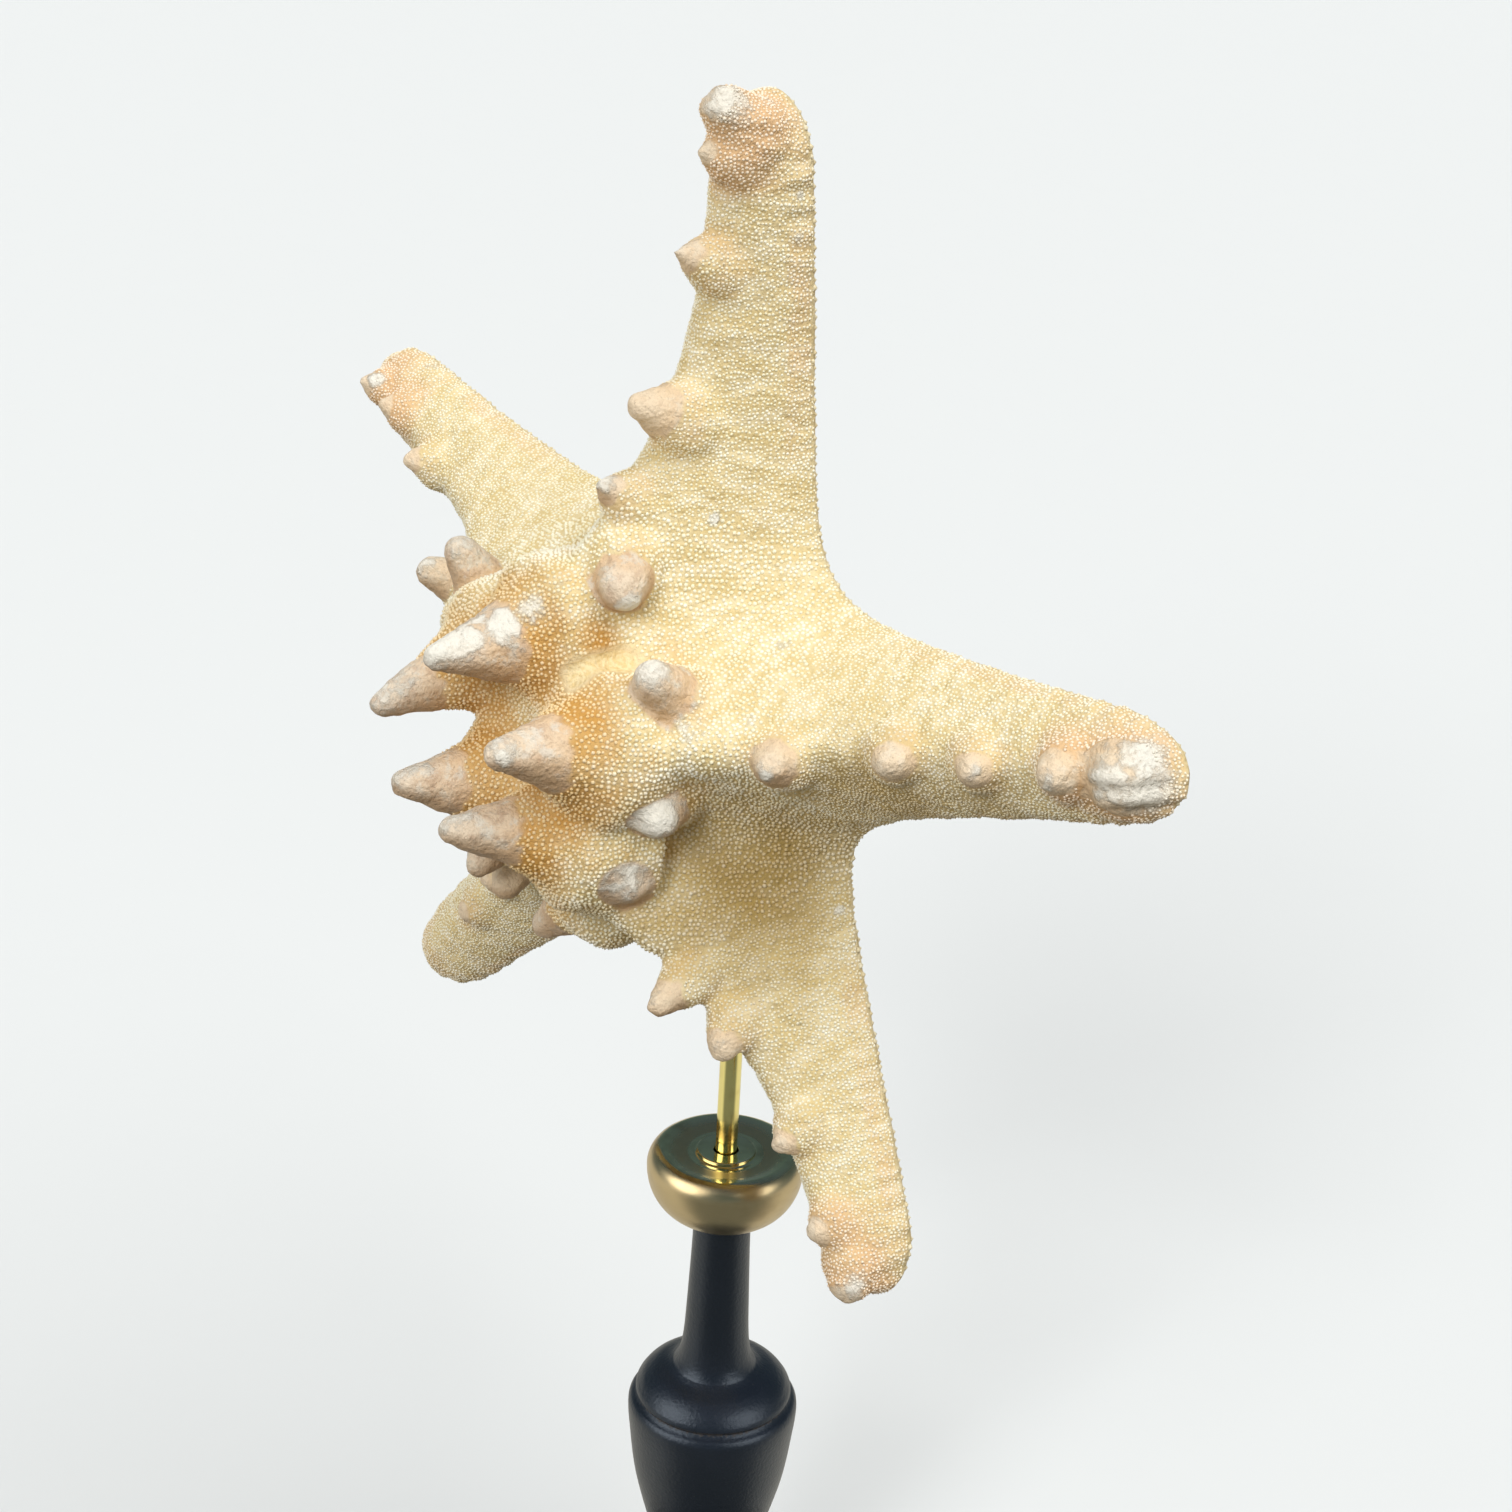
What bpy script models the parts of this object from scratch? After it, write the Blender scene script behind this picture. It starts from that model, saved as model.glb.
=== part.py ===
"""Dried horned sea star on a brass rod, a dished brass collar and a black turned stand.

The sea star is one grown piece: five arms, a tall disc and the horns and knobs on them are fused.
The stand is centred on the origin, which lies on the floor. The star's back faces +Y, and its
horned side faces -Y. Lengths are written in millimetres and turned into metres by MM.
"""

import math

import bmesh
import bpy
import numpy as np
from mathutils import Euler, Vector

MM = 0.001
GAP = 0.3  # clearance between two touching pieces

# Star: its centre lies on the oral (flat) side, in the middle of the five arms.
STAR_HEIGHT = 240.0
STAR_ASIDE = -20.4
STAR_BEHIND = 8.7
STAR_LEAN = math.radians(2.2)

# Arms: direction in the star's plane (degrees from its right), length, lift of the tip towards
# the horned side, sideways bend of the tip, length of the rounded end, and extra height there.
ARMS = {
    "top": (82.7, 123.5, 9.0, 3.4, 13.0, 5.0),
    "right": (13.8, 124.5, -2.0, -1.2, 16.0, 0.0),
    "lower_right": (-51.3, 121.0, 6.5, -3.0, 13.0, 3.0),
    "lower_left": (-128.2, 121.5, 12.0, -5.5, 14.0, 0.0),
    "left": (164.4, 126.0, 4.0, -3.5, 14.0, 0.0),
}
WEB_FILL = (-91.0, 55.0, 0.7)  # a fuller web low between two arms: direction, reach, strength
ARM_END_WIDTH = 5.0
ARM_ROOT_WIDTH = 35.0
ARM_TAPER = 63.0
FILL_END = 12.0
WEB = 6.0  # how sharply two arms meet: lower is a wider web between them

RIDGE_END = 6.5
RIDGE_RISE = 45.5
RIDGE_FALL = 48.5
RIDGE_POWER = 3.2
DIMPLE_DEPTH = 6.0  # the hollow in the middle of the disc
DIMPLE_WIDTH = 15.0
RIM = 3.5
RIM_POWER = 6
FLANK_POWER = 1.5
DISC_FLANK_POWER = 1.15  # straighter flanks near the middle, so valleys lie between the ridges
DISC_RADIUS = 42.0

FURROW_DEPTH = 2.6
FURROW_WIDTH = 2.2
MOUTH_DEPTH = 5.0
MOUTH_WIDTH = 6.0

# Horns: arm, distance along the arm, distance across it, length, root radius, tip radius, and the
# direction that they point in (outwards, sideways, up).
HORNS = (
    ("top", 19.6, 3.4, 22.5, 7.5, 2.8, (-0.06, 0.04, 1.0)),
    ("top", 35.6, -6.6, 10.5, 5.8, 4.2, (-0.11, -1.2, 1.0)),
    ("top", 30.0, 12.0, 3.0, 5.0, 3.6, (0.2, 0.5, 1.0)),
    ("top", 47.9, 0.2, 6.6, 4.2, 1.8, (0.55, 0.02, 1.0)),
    ("top", 63.5, -1.2, 10.7, 5.6, 2.8, (0.3, 0.06, 1.0)),
    ("top", 92.0, -0.4, 8.7, 4.6, 1.2, (0.32, -0.03, 1.0)),
    ("top", 112.1, -1.9, 6.5, 4.4, 1.3, (0.15, -0.02, 1.0)),
    ("top", 117.5, -2.0, 9.5, 5.2, 4.2, (0.66, 0.05, 1.0)),
    ("right", 20.2, -0.1, 22.0, 7.6, 3.0, (0.1, 0.16, 1.0)),
    ("right", 30.3, 8.3, 11.8, 5.8, 4.2, (0.47, 0.82, 1.0)),
    ("right", 26.5, -10.3, 10.8, 5.8, 4.2, (0.7, -0.55, 1.0)),
    ("right", 51.2, -2.0, 7.6, 4.8, 3.0, (0.49, -0.02, 1.0)),
    ("right", 71.2, -0.6, 6.1, 4.6, 2.8, (0.76, -0.16, 1.0)),
    ("right", 87.5, -0.6, 5.8, 4.6, 2.6, (0.63, -0.11, 1.0)),
    ("right", 105.5, 0.5, 6.3, 4.6, 2.8, (0.3, 0.01, 1.0)),
    ("right", 116.0, 0.0, 5.0, 5.6, 4.4, (0.45, -0.13, 1.0)),
    ("lower_right", 18.9, 1.5, 23.0, 7.5, 3.0, (-0.24, -0.1, 1.0)),
    ("lower_right", 30.4, 5.6, 8.2, 5.8, 4.4, (0.82, 1.09, 1.0)),
    ("lower_right", 29.5, -22.0, 15.5, 5.4, 2.8, (0.15, -1.15, 0.35)),
    ("lower_right", 52.3, -0.4, 11.4, 4.8, 2.6, (0.43, -0.05, 1.0)),
    ("lower_right", 63.7, 0.2, 8.0, 4.8, 2.8, (0.79, 0.1, 1.0)),
    ("lower_right", 86.5, 1.5, 6.0, 4.6, 2.4, (0.36, -0.03, 1.0)),
    ("lower_right", 105.4, 1.5, 4.4, 4.2, 2.2, (0.17, -0.02, 1.0)),
    ("lower_right", 116.0, 0.0, 5.0, 4.8, 3.2, (0.8, 0.0, 0.7)),
    ("lower_left", 14.0, 1.3, 21.6, 7.4, 2.8, (-0.05, -0.17, 1.0)),
    ("lower_left", 31.0, -9.0, 7.0, 5.0, 2.8, (0.3, -0.5, 1.0)),
    ("lower_left", 38.7, 3.1, 10.1, 5.0, 3.0, (0.41, 0.66, 1.0)),
    ("lower_left", 48.3, 5.0, 10.0, 5.0, 3.0, (0.31, 0.92, 1.0)),
    ("lower_left", 70.0, 0.0, 3.5, 4.4, 2.2, (0.35, 0.0, 1.0)),
    ("lower_left", 88.0, 0.0, 3.0, 4.2, 2.0, (0.4, 0.0, 1.0)),
    ("left", 19.6, -3.8, 23.6, 7.0, 2.8, (0.04, 0.33, 1.0)),
    ("left", 35.0, 0.0, 3.0, 6.4, 5.0, (0.2, 0.0, 1.0)),
    ("left", 31.0, 9.0, 6.0, 5.0, 2.8, (0.3, 0.5, 1.0)),
    ("left", 38.6, -5.4, 13.5, 5.8, 3.6, (0.64, -1.37, 1.0)),
    ("left", 48.0, 1.5, 12.0, 5.0, 3.2, (0.75, -0.35, 1.0)),
    ("left", 90.7, 1.0, 6.4, 4.4, 2.0, (0.42, -0.05, 1.0)),
    ("left", 107.8, -1.3, 4.8, 4.0, 1.8, (0.5, -0.17, 1.0)),
    ("left", 118.0, -0.5, 5.3, 3.8, 1.6, (0.51, -0.17, 1.0)),
)
HORN_ROOT = 0.35  # how deep a horn's root goes, as a share of the height that it stands at
HORN_CURVE = 1.3
HORN_FLARE = 0.35  # how much wider the foot of a horn is, as a share of its root radius
HORN_FLARE_HEIGHT = 3.0

VOXEL = 1.3
SMOOTHING = 5
STAR_TRIANGLES_KEPT = 0.069

ROD_RADIUS = 2.25
ROD_TOP = STAR_HEIGHT - 30.0
ROD_BOTTOM = STAR_HEIGHT - 125.0
COLLAR_BOTTOM = STAR_HEIGHT - 107.0

SIDES = 24


def arm_width(along):
    """Half the arm's width at a distance along it."""
    return ARM_END_WIDTH + (ARM_ROOT_WIDTH - ARM_END_WIDTH) * np.exp(-np.maximum(along, 0) / ARM_TAPER)


def ridge_height(radius):
    """Height of the arms' ridges at a distance from the centre."""
    dimple = DIMPLE_DEPTH * np.exp(-((radius / DIMPLE_WIDTH) ** 2))
    return RIDGE_END + RIDGE_RISE / (1 + (radius / RIDGE_FALL) ** RIDGE_POWER) - dimple


def arm_fields(x, y):
    """For each arm: how deep a point lies inside it (1 on the ridge, 0 on the edge), and where."""
    fields, alongs, acrosses = [], [], []
    for angle, length, _, bend, rounding, _ in ARMS.values():
        turn = math.radians(angle)
        along = x * math.cos(turn) + y * math.sin(turn)
        part = np.clip(along / length, 0, None)
        across = y * math.cos(turn) - x * math.sin(turn) - bend * part**2
        past_end = np.maximum(along - (length - rounding), 0) / rounding
        behind = np.minimum(along, 0) / ARM_ROOT_WIDTH
        off = np.sqrt((across / arm_width(along)) ** 2 + past_end**2 + behind**2)
        fields.append(1 - off)
        alongs.append(along)
        acrosses.append(across)
    return np.array(fields), np.array(alongs), np.array(acrosses)


def web_fill(x, y):
    """The field of the fuller web, a short blunt stub between the two lower arms."""
    angle, reach, strength = WEB_FILL
    turn = math.radians(angle)
    along = x * math.cos(turn) + y * math.sin(turn)
    across = y * math.cos(turn) - x * math.sin(turn)
    past_end = np.maximum(along - (reach - FILL_END), 0) / FILL_END
    behind = np.minimum(along, 0) / ARM_ROOT_WIDTH
    return strength - np.sqrt((across / arm_width(along)) ** 2 + past_end**2 + behind**2)


def inside(x, y):
    """The arms' fields blended into one, which is 0 on the star's outline."""
    fields, _, _ = arm_fields(x, y)
    return np.log(np.exp(WEB * fields).sum(axis=0) + np.exp(WEB * web_fill(x, y))) / WEB


def tip_share(x, y, column):
    """One of the arms' values, growing with the square of the distance along the nearest arm."""
    fields, alongs, _ = arm_fields(x, y)
    weights = np.exp(WEB * fields)
    weights /= weights.sum(axis=0)
    shares = 0
    for weight, along, arm in zip(weights, alongs, ARMS.values()):
        shares = shares + weight * arm[column] * np.clip(along / arm[1], 0, None) ** 2
    return shares


def lift(x, y):
    """How far the curling arms raise a point towards the horned side."""
    return tip_share(x, y, 2)


def upper_height(x, y):
    """Height of the horned side above the star's plane."""
    off = 1 - np.clip(inside(x, y), 0, 1)
    edge = RIM * np.sqrt(1 - off**RIM_POWER)
    radius = np.hypot(x, y)
    rise = ridge_height(radius) + tip_share(x, y, 5) - RIM
    power = DISC_FLANK_POWER + (FLANK_POWER - DISC_FLANK_POWER) * np.clip(radius / DISC_RADIUS, 0, 1) ** 2
    return edge + rise * (1 - off**power) + lift(x, y)


def lower_height(x, y):
    """Height of the flat side, with a furrow along each arm and the mouth in the middle."""
    off = 1 - np.clip(inside(x, y), 0, 1)
    _, alongs, acrosses = arm_fields(x, y)
    furrows = np.exp(-((acrosses / FURROW_WIDTH) ** 2)) * (alongs > 0)
    mouth = MOUTH_DEPTH * np.exp(-((np.hypot(x, y) / MOUTH_WIDTH) ** 2))
    edge = np.sqrt(1 - off**RIM_POWER)
    hollow = np.maximum(FURROW_DEPTH * furrows.max(axis=0) * (1 - off**4), mouth)
    return -RIM * edge + hollow + lift(x, y)


def outline_radius(angle):
    """Distance from the centre to the star's outline in each direction, by halving."""
    low, high = np.full_like(angle, 10.0), np.full_like(angle, 135.0)
    for _ in range(30):
        middle = (low + high) / 2
        within = inside(middle * np.cos(angle), middle * np.sin(angle)) > 0
        low, high = np.where(within, middle, low), np.where(within, high, middle)
    return low


def add_body(mesh, rays=540, rings=64):
    """The disc and arms: one closed skin of rings from the middle to the outline, above and below."""
    angle = np.linspace(0, 2 * math.pi, rays, endpoint=False)
    reach = outline_radius(angle)
    steps = np.sin(np.linspace(0, math.pi / 2, rings + 1))[1:]
    sheets = []
    for height in (upper_height, lower_height):
        middle = mesh.verts.new((0, 0, float(height(np.zeros(1), np.zeros(1))[0])))
        loops = []
        for step in steps[:-1]:
            x, y = reach * step * np.cos(angle), reach * step * np.sin(angle)
            loops.append([mesh.verts.new(point) for point in zip(x, y, height(x, y))])
        sheets.append((middle, loops))
    x, y = reach * np.cos(angle), reach * np.sin(angle)
    rim = [mesh.verts.new(point) for point in zip(x, y, lift(x, y))]
    for (middle, loops), facing_up in zip(sheets, (True, False)):
        loops = loops + [rim]
        for k in range(rays):
            after = (k + 1) % rays
            faces = [(middle, loops[0][k], loops[0][after])]
            for inner, outer in zip(loops[:-1], loops[1:]):
                faces.append((inner[k], outer[k], outer[after], inner[after]))
            for face in faces:
                mesh.faces.new(face if facing_up else tuple(reversed(face)))


def horn_place(arm, along, across, direction):
    """A horn's root on the star's surface, and the direction that it points in."""
    angle, length, _, bend, _, _ = ARMS[arm]
    turn = math.radians(angle)
    outward = Vector((math.cos(turn), math.sin(turn), 0))
    sideways = Vector((-math.sin(turn), math.cos(turn), 0))
    foot = outward * along + sideways * (across + bend * (along / length) ** 2)
    foot.z = float(upper_height(np.array([foot.x]), np.array([foot.y]))[0])
    out, side, up = direction
    return foot, (outward * out + sideways * side + Vector((0, 0, up))).normalized()


def horn_profile(buried, length, root, tip):
    """Radius and height pairs from the buried root to the round tip."""
    heights = np.linspace(-buried, length - tip, 16)
    slope = np.clip(heights / (length - tip), 0, 1)
    radii = tip + (root - tip) * (1 - slope**HORN_CURVE)
    radii += HORN_FLARE * root * np.exp(-np.clip(heights + 2, 0, None) / HORN_FLARE_HEIGHT)
    pairs = list(zip(radii, heights))
    for turn in np.linspace(0, math.pi / 2, 6)[1:-1]:
        pairs.append((radii[-1] * math.cos(turn), length - tip + tip * math.sin(turn)))
    return pairs


def add_horn(mesh, arm, along, across, length, root, tip, direction, sides=20):
    foot, direction = horn_place(arm, along, across, direction)
    turn = direction.to_track_quat("Z", "Y")
    rings = []
    for radius, height in horn_profile(HORN_ROOT * foot.z, length, root, tip):
        ring = []
        for k in range(sides):
            angle = 2 * math.pi * k / sides
            point = Vector((radius * math.cos(angle), radius * math.sin(angle), height))
            ring.append(mesh.verts.new(foot + turn @ point))
        rings.append(ring)
    for lower, upper in zip(rings[:-1], rings[1:]):
        for k in range(sides):
            after = (k + 1) % sides
            mesh.faces.new((lower[k], lower[after], upper[after], upper[k]))
    mesh.faces.new(reversed(rings[0]))
    mesh.faces.new(rings[-1])


def material(name, colour, roughness, metallic=0.0):
    made = bpy.data.materials.new(name)
    made.use_nodes = True
    shader = made.node_tree.nodes["Principled BSDF"]
    shader.inputs["Base Color"].default_value = (*colour, 1)
    shader.inputs["Roughness"].default_value = roughness
    shader.inputs["Metallic"].default_value = metallic
    made.diffuse_color = (*colour, 1)
    return made


def place(name, mesh, finish):
    data = bpy.data.meshes.new(name)
    mesh.to_mesh(data)
    mesh.free()
    data.materials.append(finish)
    made = bpy.data.objects.new(name, data)
    bpy.context.scene.collection.objects.link(made)
    return made


def turned(name, profile, finish):
    """A piece turned about the upright axis. The profile's pairs are radius and height."""
    mesh = bmesh.new()
    points = [mesh.verts.new((radius * MM, 0, height * MM)) for radius, height in profile]
    for first, second in zip(points[:-1], points[1:]):
        mesh.edges.new((first, second))
    made = place(name, mesh, finish)
    screw = made.modifiers.new("Turn", "SCREW")
    screw.steps = screw.render_steps = SIDES
    screw.use_merge_vertices = True
    screw.merge_threshold = 0.00001
    screw.use_smooth_shade = True
    return made


def make_star():
    mesh = bmesh.new()
    add_body(mesh)
    for horn in HORNS:
        add_horn(mesh, *horn)
    bmesh.ops.scale(mesh, vec=(MM, MM, MM), verts=mesh.verts)
    star = place("starfish", mesh, material("dried_star", (0.86, 0.71, 0.42), 0.8))
    star.location = Vector((STAR_ASIDE, STAR_BEHIND, STAR_HEIGHT)) * MM
    star.rotation_euler = Euler((math.pi / 2 - STAR_LEAN, 0, 0))
    fuse = star.modifiers.new("Fuse", "REMESH")
    fuse.mode = "VOXEL"
    fuse.voxel_size = VOXEL * MM
    soften = star.modifiers.new("Soften", "SMOOTH")
    soften.factor = 0.5
    soften.iterations = SMOOTHING
    thin = star.modifiers.new("Thin", "DECIMATE")
    thin.ratio = STAR_TRIANGLES_KEPT
    drill = star.modifiers.new("Drill", "BOOLEAN")
    drill.operation = "DIFFERENCE"
    drill.object = make_drill()
    return star


def make_drill():
    """The cutter for the hole that takes the rod's upper end."""
    top, bottom = ROD_TOP + GAP, STAR_HEIGHT - 70.0
    mesh = bmesh.new()
    radius = (ROD_RADIUS + GAP) * MM
    bmesh.ops.create_cone(
        mesh, cap_ends=True, segments=SIDES // 2, radius1=radius, radius2=radius, depth=(top - bottom) * MM
    )
    cutter = place("drill", mesh, material("drill_guide", (0.5, 0.5, 0.5), 0.5))
    cutter.location.z = (top + bottom) / 2 * MM
    cutter.hide_render = True
    cutter.display_type = "WIRE"
    return cutter


def make_rod():
    top, bottom, chamfer = ROD_TOP, ROD_BOTTOM, 0.4
    profile = [
        (0, top),
        (ROD_RADIUS - chamfer, top),
        (ROD_RADIUS, top - chamfer),
        (ROD_RADIUS, bottom + chamfer),
        (ROD_RADIUS - chamfer, bottom),
        (0, bottom),
    ]
    return turned("rod", profile, material("rod_brass", (0.83, 0.68, 0.32), 0.18, 1.0))


def make_collar():
    """The dished brass bun: a bored boss in the dish, a round crest and a full round belly."""
    bore = ROD_RADIUS + GAP
    boss, boss_top = 5.7, 15.4
    crest, crest_top = 13.4, 15.5
    belly, belly_height, under = 16.2, 11.2, 6.5
    profile = [(bore, 0.0), (bore, boss_top), (boss - 0.7, boss_top), (boss, boss_top - 0.7)]
    profile += [(boss + 0.2, boss_top - 2.0), (boss + 1.2, boss_top - 2.1), (9.8, 14.2), (11.8, 15.2)]
    for turn in np.radians(np.linspace(90, 0, 6)):
        radius = crest + (belly - crest) * math.cos(turn)
        profile.append((radius, belly_height + (crest_top - belly_height) * math.sin(turn)))
    for turn in np.radians(np.linspace(0, 90, 8))[1:]:
        radius = under + (belly - under) * math.cos(turn)
        profile.append((radius, belly_height * (1 - math.sin(turn))))
    profile.append((bore, 0.0))
    lifted = [(radius, COLLAR_BOTTOM + height) for radius, height in profile]
    return turned("collar", lifted, material("collar_brass", (0.78, 0.64, 0.34), 0.22, 1.0))


def make_stand():
    """The black turned stand: long neck, shouldered bulb with a groove, waist, bead and round foot."""
    bore = ROD_RADIUS + GAP
    top = COLLAR_BOTTOM - GAP
    socket = ROD_BOTTOM - GAP
    profile = [(0, socket), (bore, socket), (bore, top), (5.6, top), (5.9, top - 0.3)]
    profile += [(6.1, 124), (6.5, 112), (6.9, 103), (7.6, 98), (8.6, 95.6), (10.2, 94.4), (12.9, 93.4)]
    profile += [(15.2, 91.6), (16.2, 88.9), (15.6, 88.0), (16.6, 87.0), (17.7, 86.4), (18.1, 85.0)]
    profile += [(17.7, 79.5), (16.1, 67.5), (12.9, 54.8), (9.8, 45.0), (8.3, 38.5), (8.2, 35.0)]
    profile += [(10.3, 33.6), (11.2, 31.6), (10.3, 29.4), (9.4, 28.4), (12.0, 22.5), (19.0, 16.5)]
    profile += [(30.0, 12.4), (43.0, 10.0), (46.4, 8.0), (47.0, 5.0), (46.0, 1.0), (45.0, 0.0), (0, 0)]
    return turned("stand", profile, material("stand_black", (0.025, 0.027, 0.032), 0.4))


def main():
    for old in list(bpy.data.objects):
        bpy.data.objects.remove(old, do_unlink=True)
    make_star()
    make_rod()
    make_collar()
    make_stand()


main()
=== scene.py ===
"""The finished dried sea star on its brass rod, dished collar and black turned stand.

The sea star's skin, its grains and the turned pieces are made round the frame that is loaded
here. Sizes that stand beside shapes are in millimetres and are turned into metres by MM.
"""
import math

import bmesh
import bpy
import numpy as np
from mathutils import Matrix, Vector, noise


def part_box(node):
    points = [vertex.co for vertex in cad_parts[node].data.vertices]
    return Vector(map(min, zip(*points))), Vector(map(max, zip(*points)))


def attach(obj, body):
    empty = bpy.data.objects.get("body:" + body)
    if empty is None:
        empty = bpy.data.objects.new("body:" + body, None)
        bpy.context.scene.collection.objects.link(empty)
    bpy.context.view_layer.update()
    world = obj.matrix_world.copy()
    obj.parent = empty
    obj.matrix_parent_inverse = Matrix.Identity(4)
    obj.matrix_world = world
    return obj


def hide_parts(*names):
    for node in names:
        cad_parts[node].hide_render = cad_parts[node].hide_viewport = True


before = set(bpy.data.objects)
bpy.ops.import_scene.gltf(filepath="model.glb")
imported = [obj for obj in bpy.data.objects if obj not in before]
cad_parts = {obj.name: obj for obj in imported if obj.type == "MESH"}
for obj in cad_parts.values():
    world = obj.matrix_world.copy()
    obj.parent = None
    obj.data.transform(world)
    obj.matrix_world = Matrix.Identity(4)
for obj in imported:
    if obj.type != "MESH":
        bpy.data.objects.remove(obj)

bl_info = {
    "name": "Dried Sea Star",
    "version": (1, 0, 0),
    "blender": (4, 5, 0),
    "location": "3D View > Sidebar > Sea Star",
    "description": "A dried horned sea star with its grains, on a small turned stand",
    "category": "Add Mesh",
}

MM = 0.001

# The sea star's shape
STAR_PLACE = (-20.4, 8.7, 240.0)
STAR_LEAN = math.radians(2.2)

# Arms: direction, length, lift of the tip, sideways bend, length of the round end, extra height.
ARMS = {
    "top": (82.7, 123.5, 9.0, 3.4, 13.0, 5.0),
    "right": (13.8, 124.5, -2.0, -1.2, 16.0, 0.0),
    "lower_right": (-51.3, 121.0, 6.5, -3.0, 13.0, 3.0),
    "lower_left": (-128.2, 121.5, 12.0, -5.5, 14.0, 0.0),
    "left": (164.4, 126.0, 4.0, -3.5, 14.0, 0.0),
}
ARM_NAMES = tuple(ARMS)
WEB_FILL = (-91.0, 55.0, 0.7)
ARM_END_WIDTH = 5.0
ARM_ROOT_WIDTH = 35.0
ARM_TAPER = 63.0
FILL_END = 12.0
WEB = 6.0
RIDGE_END = 6.5
RIDGE_RISE = 45.5
RIDGE_FALL = 48.5
RIDGE_POWER = 3.2
DIMPLE_DEPTH = 6.0
DIMPLE_WIDTH = 15.0
RIM = 3.5
RIM_POWER = 6
FLANK_POWER = 1.5
DISC_FLANK_POWER = 1.15
DISC_RADIUS = 42.0
FURROW_DEPTH = 2.6
FURROW_WIDTH = 2.2
MOUTH_DEPTH = 5.0
MOUTH_WIDTH = 6.0

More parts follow.
